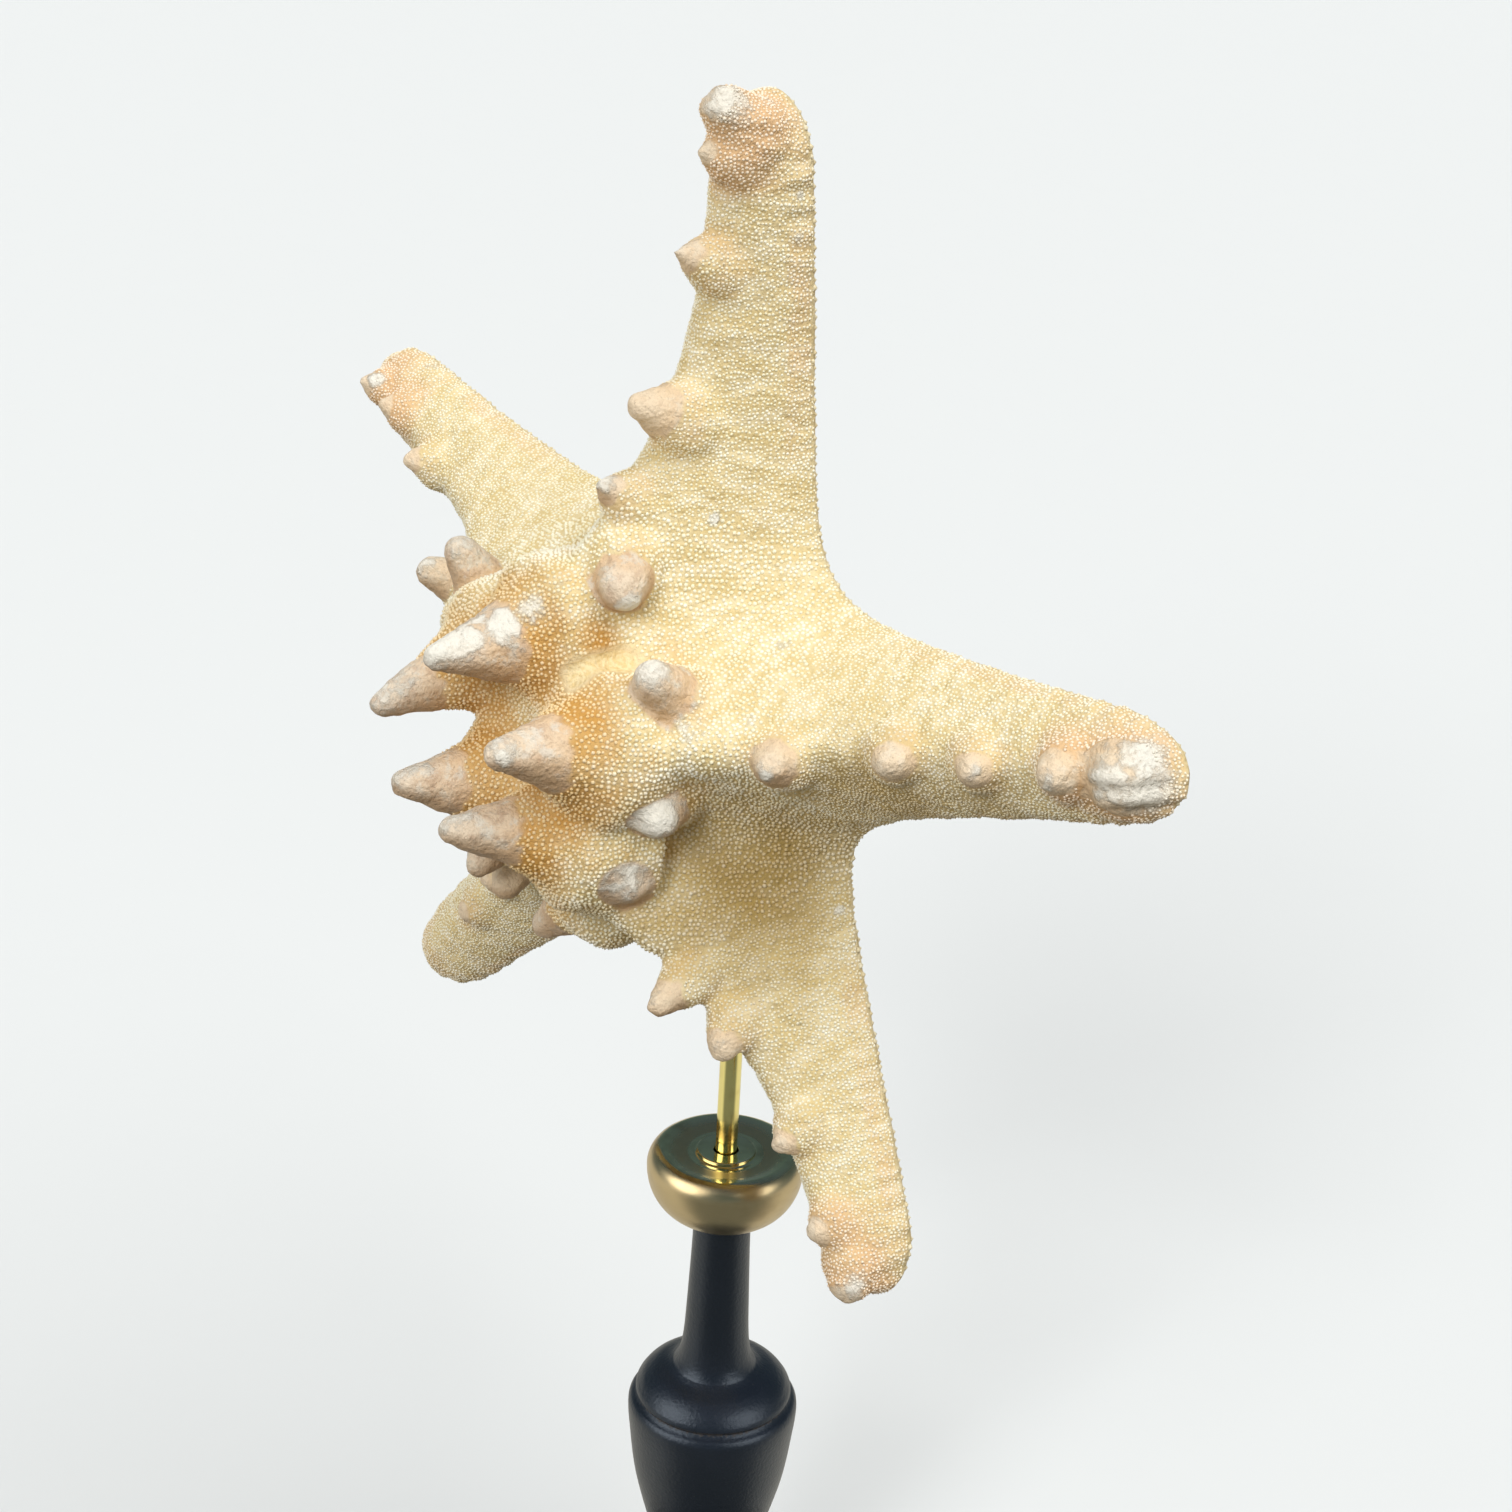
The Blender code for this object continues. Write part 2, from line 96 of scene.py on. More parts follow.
# Horns: arm, distance along, distance across, length, root radius, tip radius, direction, the
# share of the length where the grains end, and how chalky the horn is.
HORNS = (
    ("top", 19.6, 3.4, 22.5, 7.5, 2.8, (-0.06, 0.04, 1.0), 0.16, 0.78),
    ("top", 35.6, -6.6, 10.5, 5.8, 4.2, (-0.11, -1.2, 1.0), 0.12, 0.42),
    ("top", 30.0, 12.0, 3.0, 5.0, 3.6, (0.2, 0.5, 1.0), 2.0, 0.0),
    ("top", 47.9, 0.2, 6.6, 4.2, 1.8, (0.55, 0.02, 1.0), 0.3, 0.6),
    ("top", 63.5, -1.2, 10.7, 5.6, 2.8, (0.3, 0.06, 1.0), 0.12, 0.2),
    ("top", 92.0, -0.4, 8.7, 4.6, 1.2, (0.32, -0.03, 1.0), 0.36, 0.3),
    ("top", 112.1, -1.9, 6.5, 4.4, 1.3, (0.15, -0.02, 1.0), 0.55, 0.3),
    ("top", 117.5, -2.0, 9.5, 5.2, 4.2, (0.66, 0.05, 1.0), 0.7, 0.42),
    ("right", 20.2, -0.1, 22.0, 7.6, 3.0, (0.1, 0.16, 1.0), 0.24, 0.45),
    ("right", 30.3, 8.3, 11.8, 5.8, 4.2, (0.47, 0.82, 1.0), 0.05, 0.55),
    ("right", 26.5, -10.3, 10.8, 5.8, 4.2, (0.7, -0.55, 1.0), 0.22, 0.95),
    ("right", 51.2, -2.0, 7.6, 4.8, 3.0, (0.49, -0.02, 1.0), 0.15, 0.48),
    ("right", 71.2, -0.6, 6.1, 4.6, 2.8, (0.76, -0.16, 1.0), 0.25, 0.3),
    ("right", 87.5, -0.6, 5.8, 4.6, 2.6, (0.63, -0.11, 1.0), 0.3, 0.28),
    ("right", 105.5, 0.5, 6.3, 4.6, 2.8, (0.3, 0.01, 1.0), 0.2, 0.4),
    ("right", 116.0, 0.0, 5.0, 5.6, 4.4, (0.45, -0.13, 1.0), -0.3, 0.72),
    ("lower_right", 18.9, 1.5, 23.0, 7.5, 3.0, (-0.24, -0.1, 1.0), 0.3, 0.5),
    ("lower_right", 30.4, 5.6, 8.2, 5.8, 4.4, (0.82, 1.09, 1.0), 0.12, 0.72),
    ("lower_right", 29.5, -22.0, 15.5, 5.4, 2.8, (0.15, -1.15, 0.35), 0.3, 0.2),
    ("lower_right", 52.3, -0.4, 11.4, 4.8, 2.6, (0.43, -0.05, 1.0), 0.35, 0.42),
    ("lower_right", 63.7, 0.2, 8.0, 4.8, 2.8, (0.79, 0.1, 1.0), 0.35, 0.5),
    ("lower_right", 86.5, 1.5, 6.0, 4.6, 2.4, (0.36, -0.03, 1.0), 0.35, 0.35),
    ("lower_right", 105.4, 1.5, 4.4, 4.2, 2.2, (0.17, -0.02, 1.0), 0.3, 0.3),
    ("lower_right", 116.0, 0.0, 5.0, 4.8, 3.2, (0.8, 0.0, 0.7), 0.5, 0.36),
    ("lower_left", 14.0, 1.3, 21.6, 7.4, 2.8, (-0.05, -0.17, 1.0), 0.3, 0.48),
    ("lower_left", 31.0, -9.0, 7.0, 5.0, 2.8, (0.3, -0.5, 1.0), 0.3, 0.4),
    ("lower_left", 38.7, 3.1, 10.1, 5.0, 3.0, (0.41, 0.66, 1.0), 0.25, 0.2),
    ("lower_left", 48.3, 5.0, 10.0, 5.0, 3.0, (0.31, 0.92, 1.0), 0.25, 0.2),
    ("lower_left", 70.0, 0.0, 3.5, 4.4, 2.2, (0.35, 0.0, 1.0), 0.3, 0.2),
    ("lower_left", 88.0, 0.0, 3.0, 4.2, 2.0, (0.4, 0.0, 1.0), 0.3, 0.2),
    ("left", 19.6, -3.8, 23.6, 7.0, 2.8, (0.04, 0.33, 1.0), 0.34, 0.55),
    ("left", 35.0, 0.0, 3.0, 6.4, 5.0, (0.2, 0.0, 1.0), 2.0, 0.0),
    ("left", 31.0, 9.0, 6.0, 5.0, 2.8, (0.3, 0.5, 1.0), 0.3, 0.4),
    ("left", 38.6, -5.4, 13.5, 5.8, 3.6, (0.64, -1.37, 1.0), 0.18, 0.5),
    ("left", 48.0, 1.5, 12.0, 5.0, 3.2, (0.75, -0.35, 1.0), 0.2, 0.5),
    ("left", 90.7, 1.0, 6.4, 4.4, 2.0, (0.42, -0.05, 1.0), 0.36, 0.1),
    ("left", 107.8, -1.3, 4.8, 4.0, 1.8, (0.5, -0.17, 1.0), 0.36, 0.12),
    ("left", 118.0, -0.5, 5.3, 3.8, 1.6, (0.51, -0.17, 1.0), 0.3, 0.25),
)
TALL_HORN = 15.0
HORN_ROOT = 0.35
HORN_CURVE = 1.3
HORN_FLARE = 0.35
HORN_FLARE_HEIGHT = 3.0
HORN_SKIRT = 5.0
HORN_SKIRT_HEIGHT = 4.5
# Low ridges from the tall horns to their side horns: arm, then along and across for each end.
RIDGES = (
    ("top", 20.0, 3.0, 35.0, -6.0),
    ("right", 20.0, 0.0, 30.0, 8.0),
    ("right", 24.0, 0.0, 51.0, -2.0),
    ("lower_right", 19.0, 1.5, 30.0, 5.5),
    ("lower_right", 19.0, 1.5, 52.0, -0.4),
    ("lower_left", 14.0, 1.3, 38.0, 3.0),
    ("left", 19.6, -3.8, 38.0, -5.0),
)
RIDGE_REACH = 0.72
RIDGE_SWELL = 1.9
RIDGE_WIDTH = 4.6
PLATE = (14.5, 17.3, 39.0, 4.3)  # the sieve plate on the disc: its middle and its radius
CHALKY = (  # chalky patches over skin and grains: middle, radius and strength
    (19.6, 31.0, 38.6, 3.6, 1.0),
    (2.9, 26.0, 56.0, 5.5, 0.8),
    (1.5, 24.0, 61.5, 5.0, 0.8),
    (4.5, 28.0, 50.5, 4.5, 0.7),
    (-17.2, 8.5, 62.6, 4.5, 0.5),
    (23.3, 8.9, 67.4, 3.0, 0.7),
    (11.2, -8.6, 67.6, 3.0, 0.45),
    (-7.4, -7.3, 68.1, 2.4, 0.4),
    (29.5, 23.5, 42.8, 3.4, 0.55),
    (35.7, -5.0, 41.6, 5.5, 0.8),
    (32.9, 19.5, 37.0, 3.2, 0.4),
    (30.1, -18.0, 42.4, 5.5, 0.6),
    (17.0, 44.8, 18.9, 1.5, 0.95),
    (5.2, 29.3, 44.4, 6.0, 0.55),
    (-24.9, 21.5, 26.5, 2.0, 0.6),
    (34.6, 12.5, 36.0, 7.0, 0.5),
    (33.6, 17.0, 32.5, 4.0, 0.45),
    (34.7, 25.2, 14.4, 4.0, 0.45),
    (54.0, 9.5, 32.5, 2.0, 0.9),
    (105.2, 22.5, 14.0, 3.0, 0.6),
    (116.5, 31.7, 3.8, 6.0, 0.75),
    (118.3, 25.4, 4.2, 7.0, 0.8),
    (114.0, 27.5, 10.0, 6.0, 0.7),
    (20.6, 104.8, 8.3, 1.8, 0.6),
    (21.4, 97.4, 8.1, 1.5, 0.6),
    (45.3, -27.4, 3.3, 1.8, 0.7),
    (-110.8, 37.6, 13.0, 2.5, 0.7),
    (-102.3, 42.0, 4.4, 2.2, 0.5),
    (16.8, 122.0, 23.0, 6.5, 0.75),
    (15.5, 121.0, 13.0, 4.5, 0.5),
    (74.1, -91.9, 15.9, 5.0, 0.6),
)
GOLDEN_AND_SHADED = (  # golden places between the horns, partly the skin's own ochre and partly painted shade in the hollows there: middle, radius and strength
    (22.0, 24.0, 30.0, 7.0, 0.45),
    (16.0, 24.0, 42.0, 7.0, 0.9),
    (14.0, 5.0, 46.0, 8.0, 0.5),
    (24.0, -12.0, 42.0, 10.0, 0.55),
    (2.0, -6.0, 48.0, 9.0, 0.45),
    (-8.0, 8.0, 46.0, 7.0, 0.4),
    (-4.0, 18.0, 46.0, 6.0, 0.4),
)
PAINTED_SHADOWS = (  # painted shadow: browner, smoother-looking skin on the right arm's lower flank and on the web below it, where that arm casts its shade: middle, radius and strength
    (36.4, -20.0, 17.1, 26.0, 0.7),
    (62.5, 4.6, 11.5, 18.0, 0.6),
    (84.0, 9.0, 8.0, 14.0, 0.5),
    (26.0, -28.0, 28.0, 14.0, 0.6),
)
FOLDS = (111.0, 121.0, -3.2, 4.4)  # folds at the right arm's end: from, to, middle, spacing
DISC_HORNS = 45.0  # horns nearer the middle than this stand on the disc, the others on an arm
FURROW_LINE = 2.0  # half the width of the brown line in each furrow
FAR = 99.0  # stands for no furrow near
BOX_INSET = 0.0002  # in metres, how far the skin stays inside the solid's box

# Grains and spines, in metres: radius and height.
DISC_GRAIN = (0.00055, 0.00044)
ARM_GRAIN = (0.00042, 0.00025)
FLAT_GRAIN = (0.0008, 0.00045)
SPINE = (0.0006, 0.0021)
SPINE_SPACING = 0.0012
MOST_GRAINS = 7.0e6  # to the square metre, before the spacing thins them out

# The spines' feet along each furrow, in millimetres.
SPINE_STEP = 1.9
SPINE_ASIDE = 2.9
SPINE_FOOT = 0.35

# The stand's pieces, in millimetres.
ROD_RADIUS = 2.25
ROD_CHAMFER = 0.4
BORE = 2.55
SOCKET_FLOOR = 114.7
DISH_TOP = 15.2
GROOVE = 88.1
NECK_FOOT = 94.8

# The camera, in metres.
CAMERA_PLACE = (0.3813, -0.3137, 0.4566)
CAMERA_FORWARD = (-0.7036, 0.5827, -0.4067)
CAMERA_RIGHT = (0.6193, 0.7835, 0.0512)
CAMERA_LENS = 66.67
SENSOR = 36.0

FLOOR_RADIUS = 6.0
FLOOR_DROP = 0.0002
DARK_SIDE = (0.84, -0.54, 0.0)  # little light comes from low down on this side


def lobe(x, y, angle, length, bend, rounding):
    """How far points lie out in one arm, with 1 on its edge, and their places along and across."""
    turn = math.radians(angle)
    along = x * math.cos(turn) + y * math.sin(turn)
    across = y * math.cos(turn) - x * math.sin(turn) - bend * np.clip(along / length, 0, None) ** 2
    taper = np.exp(-np.maximum(along, 0) / ARM_TAPER)
    width = ARM_END_WIDTH + (ARM_ROOT_WIDTH - ARM_END_WIDTH) * taper
    past_end = np.maximum(along - (length - rounding), 0) / rounding
    behind = np.minimum(along, 0) / ARM_ROOT_WIDTH
    return np.sqrt((across / width) ** 2 + past_end**2 + behind**2), along, across


def arm_fields(x, y):
    """How deep points lie inside each arm, and their places along it and across it."""
    lobes = [lobe(x, y, arm[0], arm[1], arm[3], arm[4]) for arm in ARMS.values()]
    reaches, alongs, acrosses = (np.array(values) for values in zip(*lobes))
    return 1 - reaches, alongs, acrosses


def inside(x, y):
    """The arms' fields and the fuller web blended into one, which is 0 on the outline."""
    angle, length, strength = WEB_FILL
    web = strength - lobe(x, y, angle, length, 0.0, FILL_END)[0]
    fields = arm_fields(x, y)[0]
    return np.log(np.exp(WEB * fields).sum(axis=0) + np.exp(WEB * web)) / WEB


def tip_share(x, y, column):
    """One of the arms' values, growing with the square of the distance along the nearest arm."""
    fields, alongs, _ = arm_fields(x, y)
    weights = np.exp(WEB * fields)
    weights /= weights.sum(axis=0)
    shares = 0
    for weight, along, arm in zip(weights, alongs, ARMS.values()):
        shares = shares + weight * arm[column] * np.clip(along / arm[1], 0, None) ** 2
    return shares


def upper_height(x, y):
    """How high the horned side lies over the middle plane."""
    off = 1 - np.clip(inside(x, y), 0, 1)
    edge = RIM * np.sqrt(1 - off**RIM_POWER)
    radius = np.hypot(x, y)
    dimple = DIMPLE_DEPTH * np.exp(-((radius / DIMPLE_WIDTH) ** 2))
    ridge = RIDGE_END + RIDGE_RISE / (1 + (radius / RIDGE_FALL) ** RIDGE_POWER) - dimple
    rise = ridge + tip_share(x, y, 5) - RIM
    outward = np.clip(radius / DISC_RADIUS, 0, 1) ** 2
    power = DISC_FLANK_POWER + (FLANK_POWER - DISC_FLANK_POWER) * outward
    return edge + rise * (1 - off**power) + tip_share(x, y, 2)


def lower_height(x, y):
    """How high the flat side lies, with its furrows and its mouth."""
    off = 1 - np.clip(inside(x, y), 0, 1)
    _, alongs, acrosses = arm_fields(x, y)
    furrows = np.exp(-((acrosses / FURROW_WIDTH) ** 2)) * (alongs > 0)
    mouth = MOUTH_DEPTH * np.exp(-((np.hypot(x, y) / MOUTH_WIDTH) ** 2))
    hollow = np.maximum(FURROW_DEPTH * furrows.max(axis=0) * (1 - off**4), mouth)
    return -RIM * np.sqrt(1 - off**RIM_POWER) + hollow + tip_share(x, y, 2)


def outline_radius(angle):
    """Distance from the centre to the outline in each direction, by halving."""
    low, high = np.full_like(angle, 10.0), np.full_like(angle, 135.0)
    for _ in range(30):
        middle = (low + high) / 2
        within = inside(middle * np.cos(angle), middle * np.sin(angle)) > 0
        low, high = np.where(within, middle, low), np.where(within, high, middle)
    return low


def add_body(mesh, rays=720, rings=90):
    """The disc and arms as one closed skin of rings, above and below."""
    angle = np.linspace(0, 2 * math.pi, rays, endpoint=False)
    reach = outline_radius(angle)
    steps = np.sin(np.linspace(0, math.pi / 2, rings + 1))[1:]
    x, y = reach * np.cos(angle), reach * np.sin(angle)
    rim = [mesh.verts.new(point) for point in zip(x, y, tip_share(x, y, 2))]
    for height, facing_up in ((upper_height, True), (lower_height, False)):
        middle = mesh.verts.new((0, 0, float(height(np.zeros(1), np.zeros(1))[0])))
        loops = []
        for step in steps[:-1]:
            across, down = x * step, y * step
            places = zip(across, down, height(across, down))
            loops.append([mesh.verts.new(point) for point in places])
        loops.append(rim)
        for k in range(rays):
            after = (k + 1) % rays
            faces = [(middle, loops[0][k], loops[0][after])]
            for inner, outer in zip(loops[:-1], loops[1:]):
                faces.append((inner[k], outer[k], outer[after], inner[after]))
            for face in faces:
                mesh.faces.new(face if facing_up else tuple(reversed(face)))


def on_arm(arm, along, across, height):
    """A place on an arm at a height given by a function, and the ways along and across it."""
    angle, length, _, bend, _, _ = ARMS[arm]
    turn = math.radians(angle)
    outward = Vector((math.cos(turn), math.sin(turn), 0))
    sideways = Vector((-math.sin(turn), math.cos(turn), 0))
    place = outward * along + sideways * (across + bend * (along / length) ** 2)
    place.z = float(height(np.array([place.x]), np.array([place.y]))[0])
    return place, outward, sideways


def horn_place(arm, along, across, direction):
    """A horn's foot on the skin, and the way that it points."""
    foot, outward, sideways = on_arm(arm, along, across, upper_height)
    out, side, up = direction
    return foot, (outward * out + sideways * side + Vector((0, 0, up))).normalized()


def horn_radius(height, length, root, tip):
    """A horn's radius at a height above its foot."""
    slope = np.clip(height / (length - tip), 0, 1)
    flare = HORN_FLARE * root * np.exp(-np.clip(height + 2, 0, None) / HORN_FLARE_HEIGHT)
    if length > TALL_HORN:
        flare = flare + HORN_SKIRT * np.exp(-np.clip(height + 1, 0, None) / HORN_SKIRT_HEIGHT)
    return tip + (root - tip) * (1 - slope**HORN_CURVE) + flare


def add_horn(mesh, arm, along, across, length, root, tip, direction, sides=32):
    """A horn with a round tip as one closed form, whose root goes down into the body."""
    foot, direction = horn_place(arm, along, across, direction)
    turn = direction.to_track_quat("Z", "Y")
    heights = np.linspace(-HORN_ROOT * foot.z, length - tip, 24)
    profile = list(zip(horn_radius(heights, length, root, tip), heights))
    end = profile[-1][0]
    for bend in np.linspace(0, math.pi / 2, 8)[1:-1]:
        profile.append((end * math.cos(bend), length - tip + tip * math.sin(bend)))
    rings = []
    for radius, height in profile:
        spokes = np.linspace(0, 2 * math.pi, sides, endpoint=False)
        ring = [Vector((radius * math.cos(a), radius * math.sin(a), height)) for a in spokes]
        rings.append([mesh.verts.new(foot + turn @ point) for point in ring])
    for lower, upper in zip(rings[:-1], rings[1:]):
        for k in range(sides):
            after = (k + 1) % sides
            mesh.faces.new((lower[k], lower[after], upper[after], upper[k]))
    mesh.faces.new(reversed(rings[0]))
    mesh.faces.new(rings[-1])


def star_to_world():
    """The matrix that stands the star up on its rod, in metres."""
    place = Matrix.Translation(Vector(STAR_PLACE) * MM)
    return place @ Matrix.Rotation(math.pi / 2 - STAR_LEAN, 4, "X") @ Matrix.Scale(MM, 4)


# Masks and relief
def smooth_step(value, low, high):
    """0 below low, 1 above high, and smooth between."""
    share = np.clip((value - low) / (high - low), 0, 1)
    return share * share * (3 - 2 * share)


def field_noise(points, scale, seed):
    """Smooth noise from -1 to 1 at each point, with lumps of a size in millimetres."""
    shift = Vector((seed * 17.3, seed * 5.1, seed * 9.7))
    return np.array([noise.noise(Vector(point) / scale + shift) for point in points])


def read(mesh, normals=False):
    """A mesh's points or their normals, as one row each."""
    values = np.empty(len(mesh.vertices) * 3, dtype=np.float32)
    if normals:
        mesh.vertex_normals.foreach_get("vector", values)
    else:
        mesh.vertices.foreach_get("co", values)
    return values.reshape(-1, 3).astype(float)


def store(mesh, name, values):
    """Keeps one number for each point under a name that a material can read."""
    layer = mesh.attributes.new(name, "FLOAT", "POINT")
    layer.data.foreach_set("value", np.asarray(values, dtype=np.float32))


def spots(points, places):
    """Soft round spots about some places, each with its radius and strength."""
    made = np.zeros(len(points))
    for *middle, reach, strength in places:
        near = np.exp(-((np.linalg.norm(points - np.array(middle), axis=1) / reach) ** 2))
        made = np.maximum(made, near * strength)
    return made


def mark_horns(points, ragged, worn, upward):
    """Where the horns are bare, chalky and near, and how far up them a point lies."""
    bare, chalk, near_disc, near_arm, horn, knob = (np.zeros(len(points)) for _ in range(6))
    for arm, along, across, length, root, tip, direction, bare_from, white in HORNS:
        foot, way = (np.array(value) for value in horn_place(arm, along, across, direction))
        offset = points - foot
        height = offset @ way
        aside = np.linalg.norm(offset - height[:, None] * way, axis=1)
        within = 1 - smooth_step(aside / horn_radius(height, length, root, tip), 1.05, 1.35)
        share = height / length
        tall = length > TALL_HORN
        edge = share - bare_from + (0.07 if tall else 0.12) * (ragged + 0.6 * worn)
        smooth = smooth_step(edge, 0.0, 0.16 if tall else 0.22) * within
        bare = np.maximum(bare, smooth)
        horn = np.maximum(horn, np.clip(share, 0, 1) * within)
        toward_tip = smooth_step(share, 0.45, 1.0)
        bias = white * (0.42 + 0.6 * toward_tip + 0.38 * upward) + 0.12 * worn
        chalk = np.maximum(chalk, bias * smooth)
        gap = np.maximum(np.linalg.norm(offset, axis=1) - root * 0.9, 0)
        if along < DISC_HORNS:
            reach, strength = (10.0, 1) if tall else (6.0, 0.5)
            near_disc = np.maximum(near_disc, np.exp(-((gap / reach) ** 2)) * strength)
        else:
            near_arm = np.maximum(near_arm, np.exp(-((gap / 4.5) ** 2)))
            knob = np.maximum(knob, within)
    return bare, chalk, near_disc, near_arm, horn, knob


def mark_ridges(points):
    """Where the low ridges between the horns of the disc run."""
    ridge = np.zeros(len(points))
    for arm, *ends in RIDGES:
        places = (ends[:2], ends[2:])
        start, end = (np.array(horn_place(arm, *place, (0, 0, 1))[0]) for place in places)
        share = (points - start) @ (end - start) / ((end - start) @ (end - start))
        share = np.clip(share, 0, RIDGE_REACH)
        apart = np.linalg.norm(points - start - share[:, None] * (end - start), axis=1)
        ridge = np.maximum(ridge, np.exp(-((apart / RIDGE_WIDTH) ** 2)))
    return ridge


def mark_skin(points, normals):
    """Masks over the skin: what is bare, chalky or golden, where shade and shadow are painted, and
    how large the grains are.
    """
    x, y, z = points.T
    fields, alongs, acrosses = arm_fields(x, y)
    nearest = fields.argmax(axis=0)
    column = np.arange(len(x))
    along, across = alongs[nearest, column], acrosses[nearest, column]
    radius = np.hypot(x, y)
    off = np.clip(1 - inside(x, y), 0, 1)
    under = smooth_step(-normals[:, 2], 0.25, 0.6) * (z < upper_height(x, y) - 1.2)
    upper = 1 - under
    ragged = field_noise(points, 2.2, 1)
    worn = field_noise(points, 5.0, 2)
    upward = np.clip(normals @ np.array((0, 1, 0.15)), -1, 1)
    bare, chalk, near_disc, near_arm, horn, knob = mark_horns(points, ragged, worn, upward)
    disc = 1 - smooth_step(radius, 22, 50)
    # golden round the horns' feet, over the disc and at the listed places: partly the skin's own
    # ochre, partly painted shade in the hollows between the horns
    gold = np.maximum(0.52 * near_disc + 0.2 * disc, spots(points, GOLDEN_AND_SHADED))
    peach = near_arm * 0.4 + 0.42 * smooth_step(along + 4 * worn, 88, 114)
    margin = smooth_step(off, 0.84, 0.93) * upper
    peach = np.maximum(np.clip(peach, 0, 1), 0.42 * margin * smooth_step(along, 45, 70))
    coarse = 1 - smooth_step(radius + 5 * worn, 42, 54)
    from_plate = (points - np.array(PLATE[:3])) * np.array((1, 1, 0.4))
    away = np.linalg.norm(from_plate, axis=1) / PLATE[3]
    plate = 1 - smooth_step(away, 0.9, 1.02)
    bare = np.maximum(bare, plate)
    from_furrow = np.where(alongs > 0, acrosses, FAR)
    return {
        "bare": bare,
        "ridge": mark_ridges(points) * upper,
        # painted shadow on the right arm's lower flank and on the web below it
        "stain": spots(points, PAINTED_SHADOWS) * upper,
        "chalk": np.clip(np.maximum(chalk, 1.2 * spots(points, CHALKY)), 0, 1),
        "gold": gold * upper,
        "peach": peach * upper,
        "coarse": coarse * upper,
        "under": under,
        "horn": horn,
        "shade": smooth_step(0.3 * worn - upward, -0.45, 0.4) * bare * (radius < 60),
        "knob": knob,
        "plate": plate,
        "plate_rim": np.exp(-(((away - 1.0) / 0.13) ** 2)),
        "margin": margin * smooth_step(along, 90, 100),
        "furrow": np.exp(-((from_furrow / FURROW_LINE) ** 2).min(axis=0)) * under,
        "along": along,
        "across": across,
        "arm": nearest.astype(float),
    }


def fold_relief(marks, warp):
    """A few folds along the end of the right arm."""
    start, end, middle, spacing = FOLDS
    along, across = marks["along"], marks["across"]
    at_end = smooth_step(along, start, start + 3) * (1 - smooth_step(along, end, end + 3))
    at_end = at_end * (marks["arm"] == ARM_NAMES.index("right")) * (1 - marks["under"])
    wave = np.cos((across - middle + 0.5 * warp) * 2 * math.pi / spacing)
    folds = at_end * (0.45 * wave - 0.5 * smooth_step(-wave, 0.75, 1.0))
    return folds * (1 - smooth_step(np.abs(across - middle), 4.0, 7.0))


def relief(points, marks):
    """How far the skin swells or sinks, in millimetres."""
    upper = 1 - marks["under"]
    skin = (1 - marks["bare"]) * upper
    lumps = field_noise(points, 6.0, 3) * 0.3 + field_noise(points, 2.6, 4) * 0.15
    warp = field_noise(points, 5.0, 8)
    along = marks["along"] / 2.3 + 1.6 * warp
    stretched = np.stack([along, marks["across"] / 3.2, marks["arm"] * 7], axis=1)
    ripples = field_noise(stretched, 1.0, 5) * 0.32 * (1 - 0.6 * marks["coarse"])
    ripples = ripples + RIDGE_SWELL * marks["ridge"]
    pits = field_noise(points, 1.8, 6) * 0.28 + field_noise(points, 5.0, 9) * 0.4
    blocks = np.cos(marks["along"] * 2 * math.pi / 5.0) * 0.25 * marks["margin"]
    plate = -0.3 * marks["plate"] + 0.25 * marks["plate_rim"]
    backs = field_noise(points, 4.0, 7) * 0.25 * marks["under"]
    swell = skin * (lumps + ripples) + pits * marks["bare"] * upper
    return swell + blocks + plate + backs + fold_relief(marks, warp)


# Nodes
def colour(text):
    """A colour such as e9d9a6 as linear red, green, blue and alpha."""
    parts = [int(text[k : k + 2], 16) / 255 for k in (0, 2, 4)]
    return (*[p / 12.92 if p <= 0.04045 else ((p + 0.055) / 1.055) ** 2.4 for p in parts], 1.0)


class Graph:
    """Makes the nodes of one node tree."""

    def __init__(self, tree):
        self.tree = tree

    def node(self, kind, settings=None, inputs=None):
        made = self.tree.nodes.new(kind)
        for name, value in (settings or {}).items():
            if name == "stops":
                ramp = made.color_ramp.elements
                while len(ramp) < len(value):
                    ramp.new(0.5)
                for element, (where, tint) in zip(ramp, value):
                    element.position = where
                    element.color = tint
            else:
                setattr(made, name, value)
        for name, value in (inputs or {}).items():
            self.feed(made.inputs[name], value)
        return made

    def feed(self, socket, value):
        if isinstance(value, Amount):
            value = value.socket
        if isinstance(value, bpy.types.NodeSocket):
            self.tree.links.new(value, socket)
        else:
            socket.default_value = value

    def amount(self, kind, settings, inputs, output=0):
        return Amount(self, self.node(kind, settings, inputs).outputs[output])

    def mix(self, share, first, second):
        """Two colours mixed, each a socket, four numbers or a text such as e9d9a6."""
        tints = [colour(tint) if isinstance(tint, str) else tint for tint in (first, second)]
        inputs = {0: share, 6: tints[0], 7: tints[1]}
        return self.node("ShaderNodeMix", {"data_type": "RGBA"}, inputs).outputs[2]

    def layers(self, base, *layers):
        """Colours laid over a base one after another, each with its share."""
        for share, tint in layers:
            base = self.mix(share, base, tint)
        return base

    def facing(self, way, direction):
        """How far a direction points the same way as another."""
        settings = {"operation": "DOT_PRODUCT"}
        return self.amount("ShaderNodeVectorMath", settings, {0: way, 1: direction}, 1)


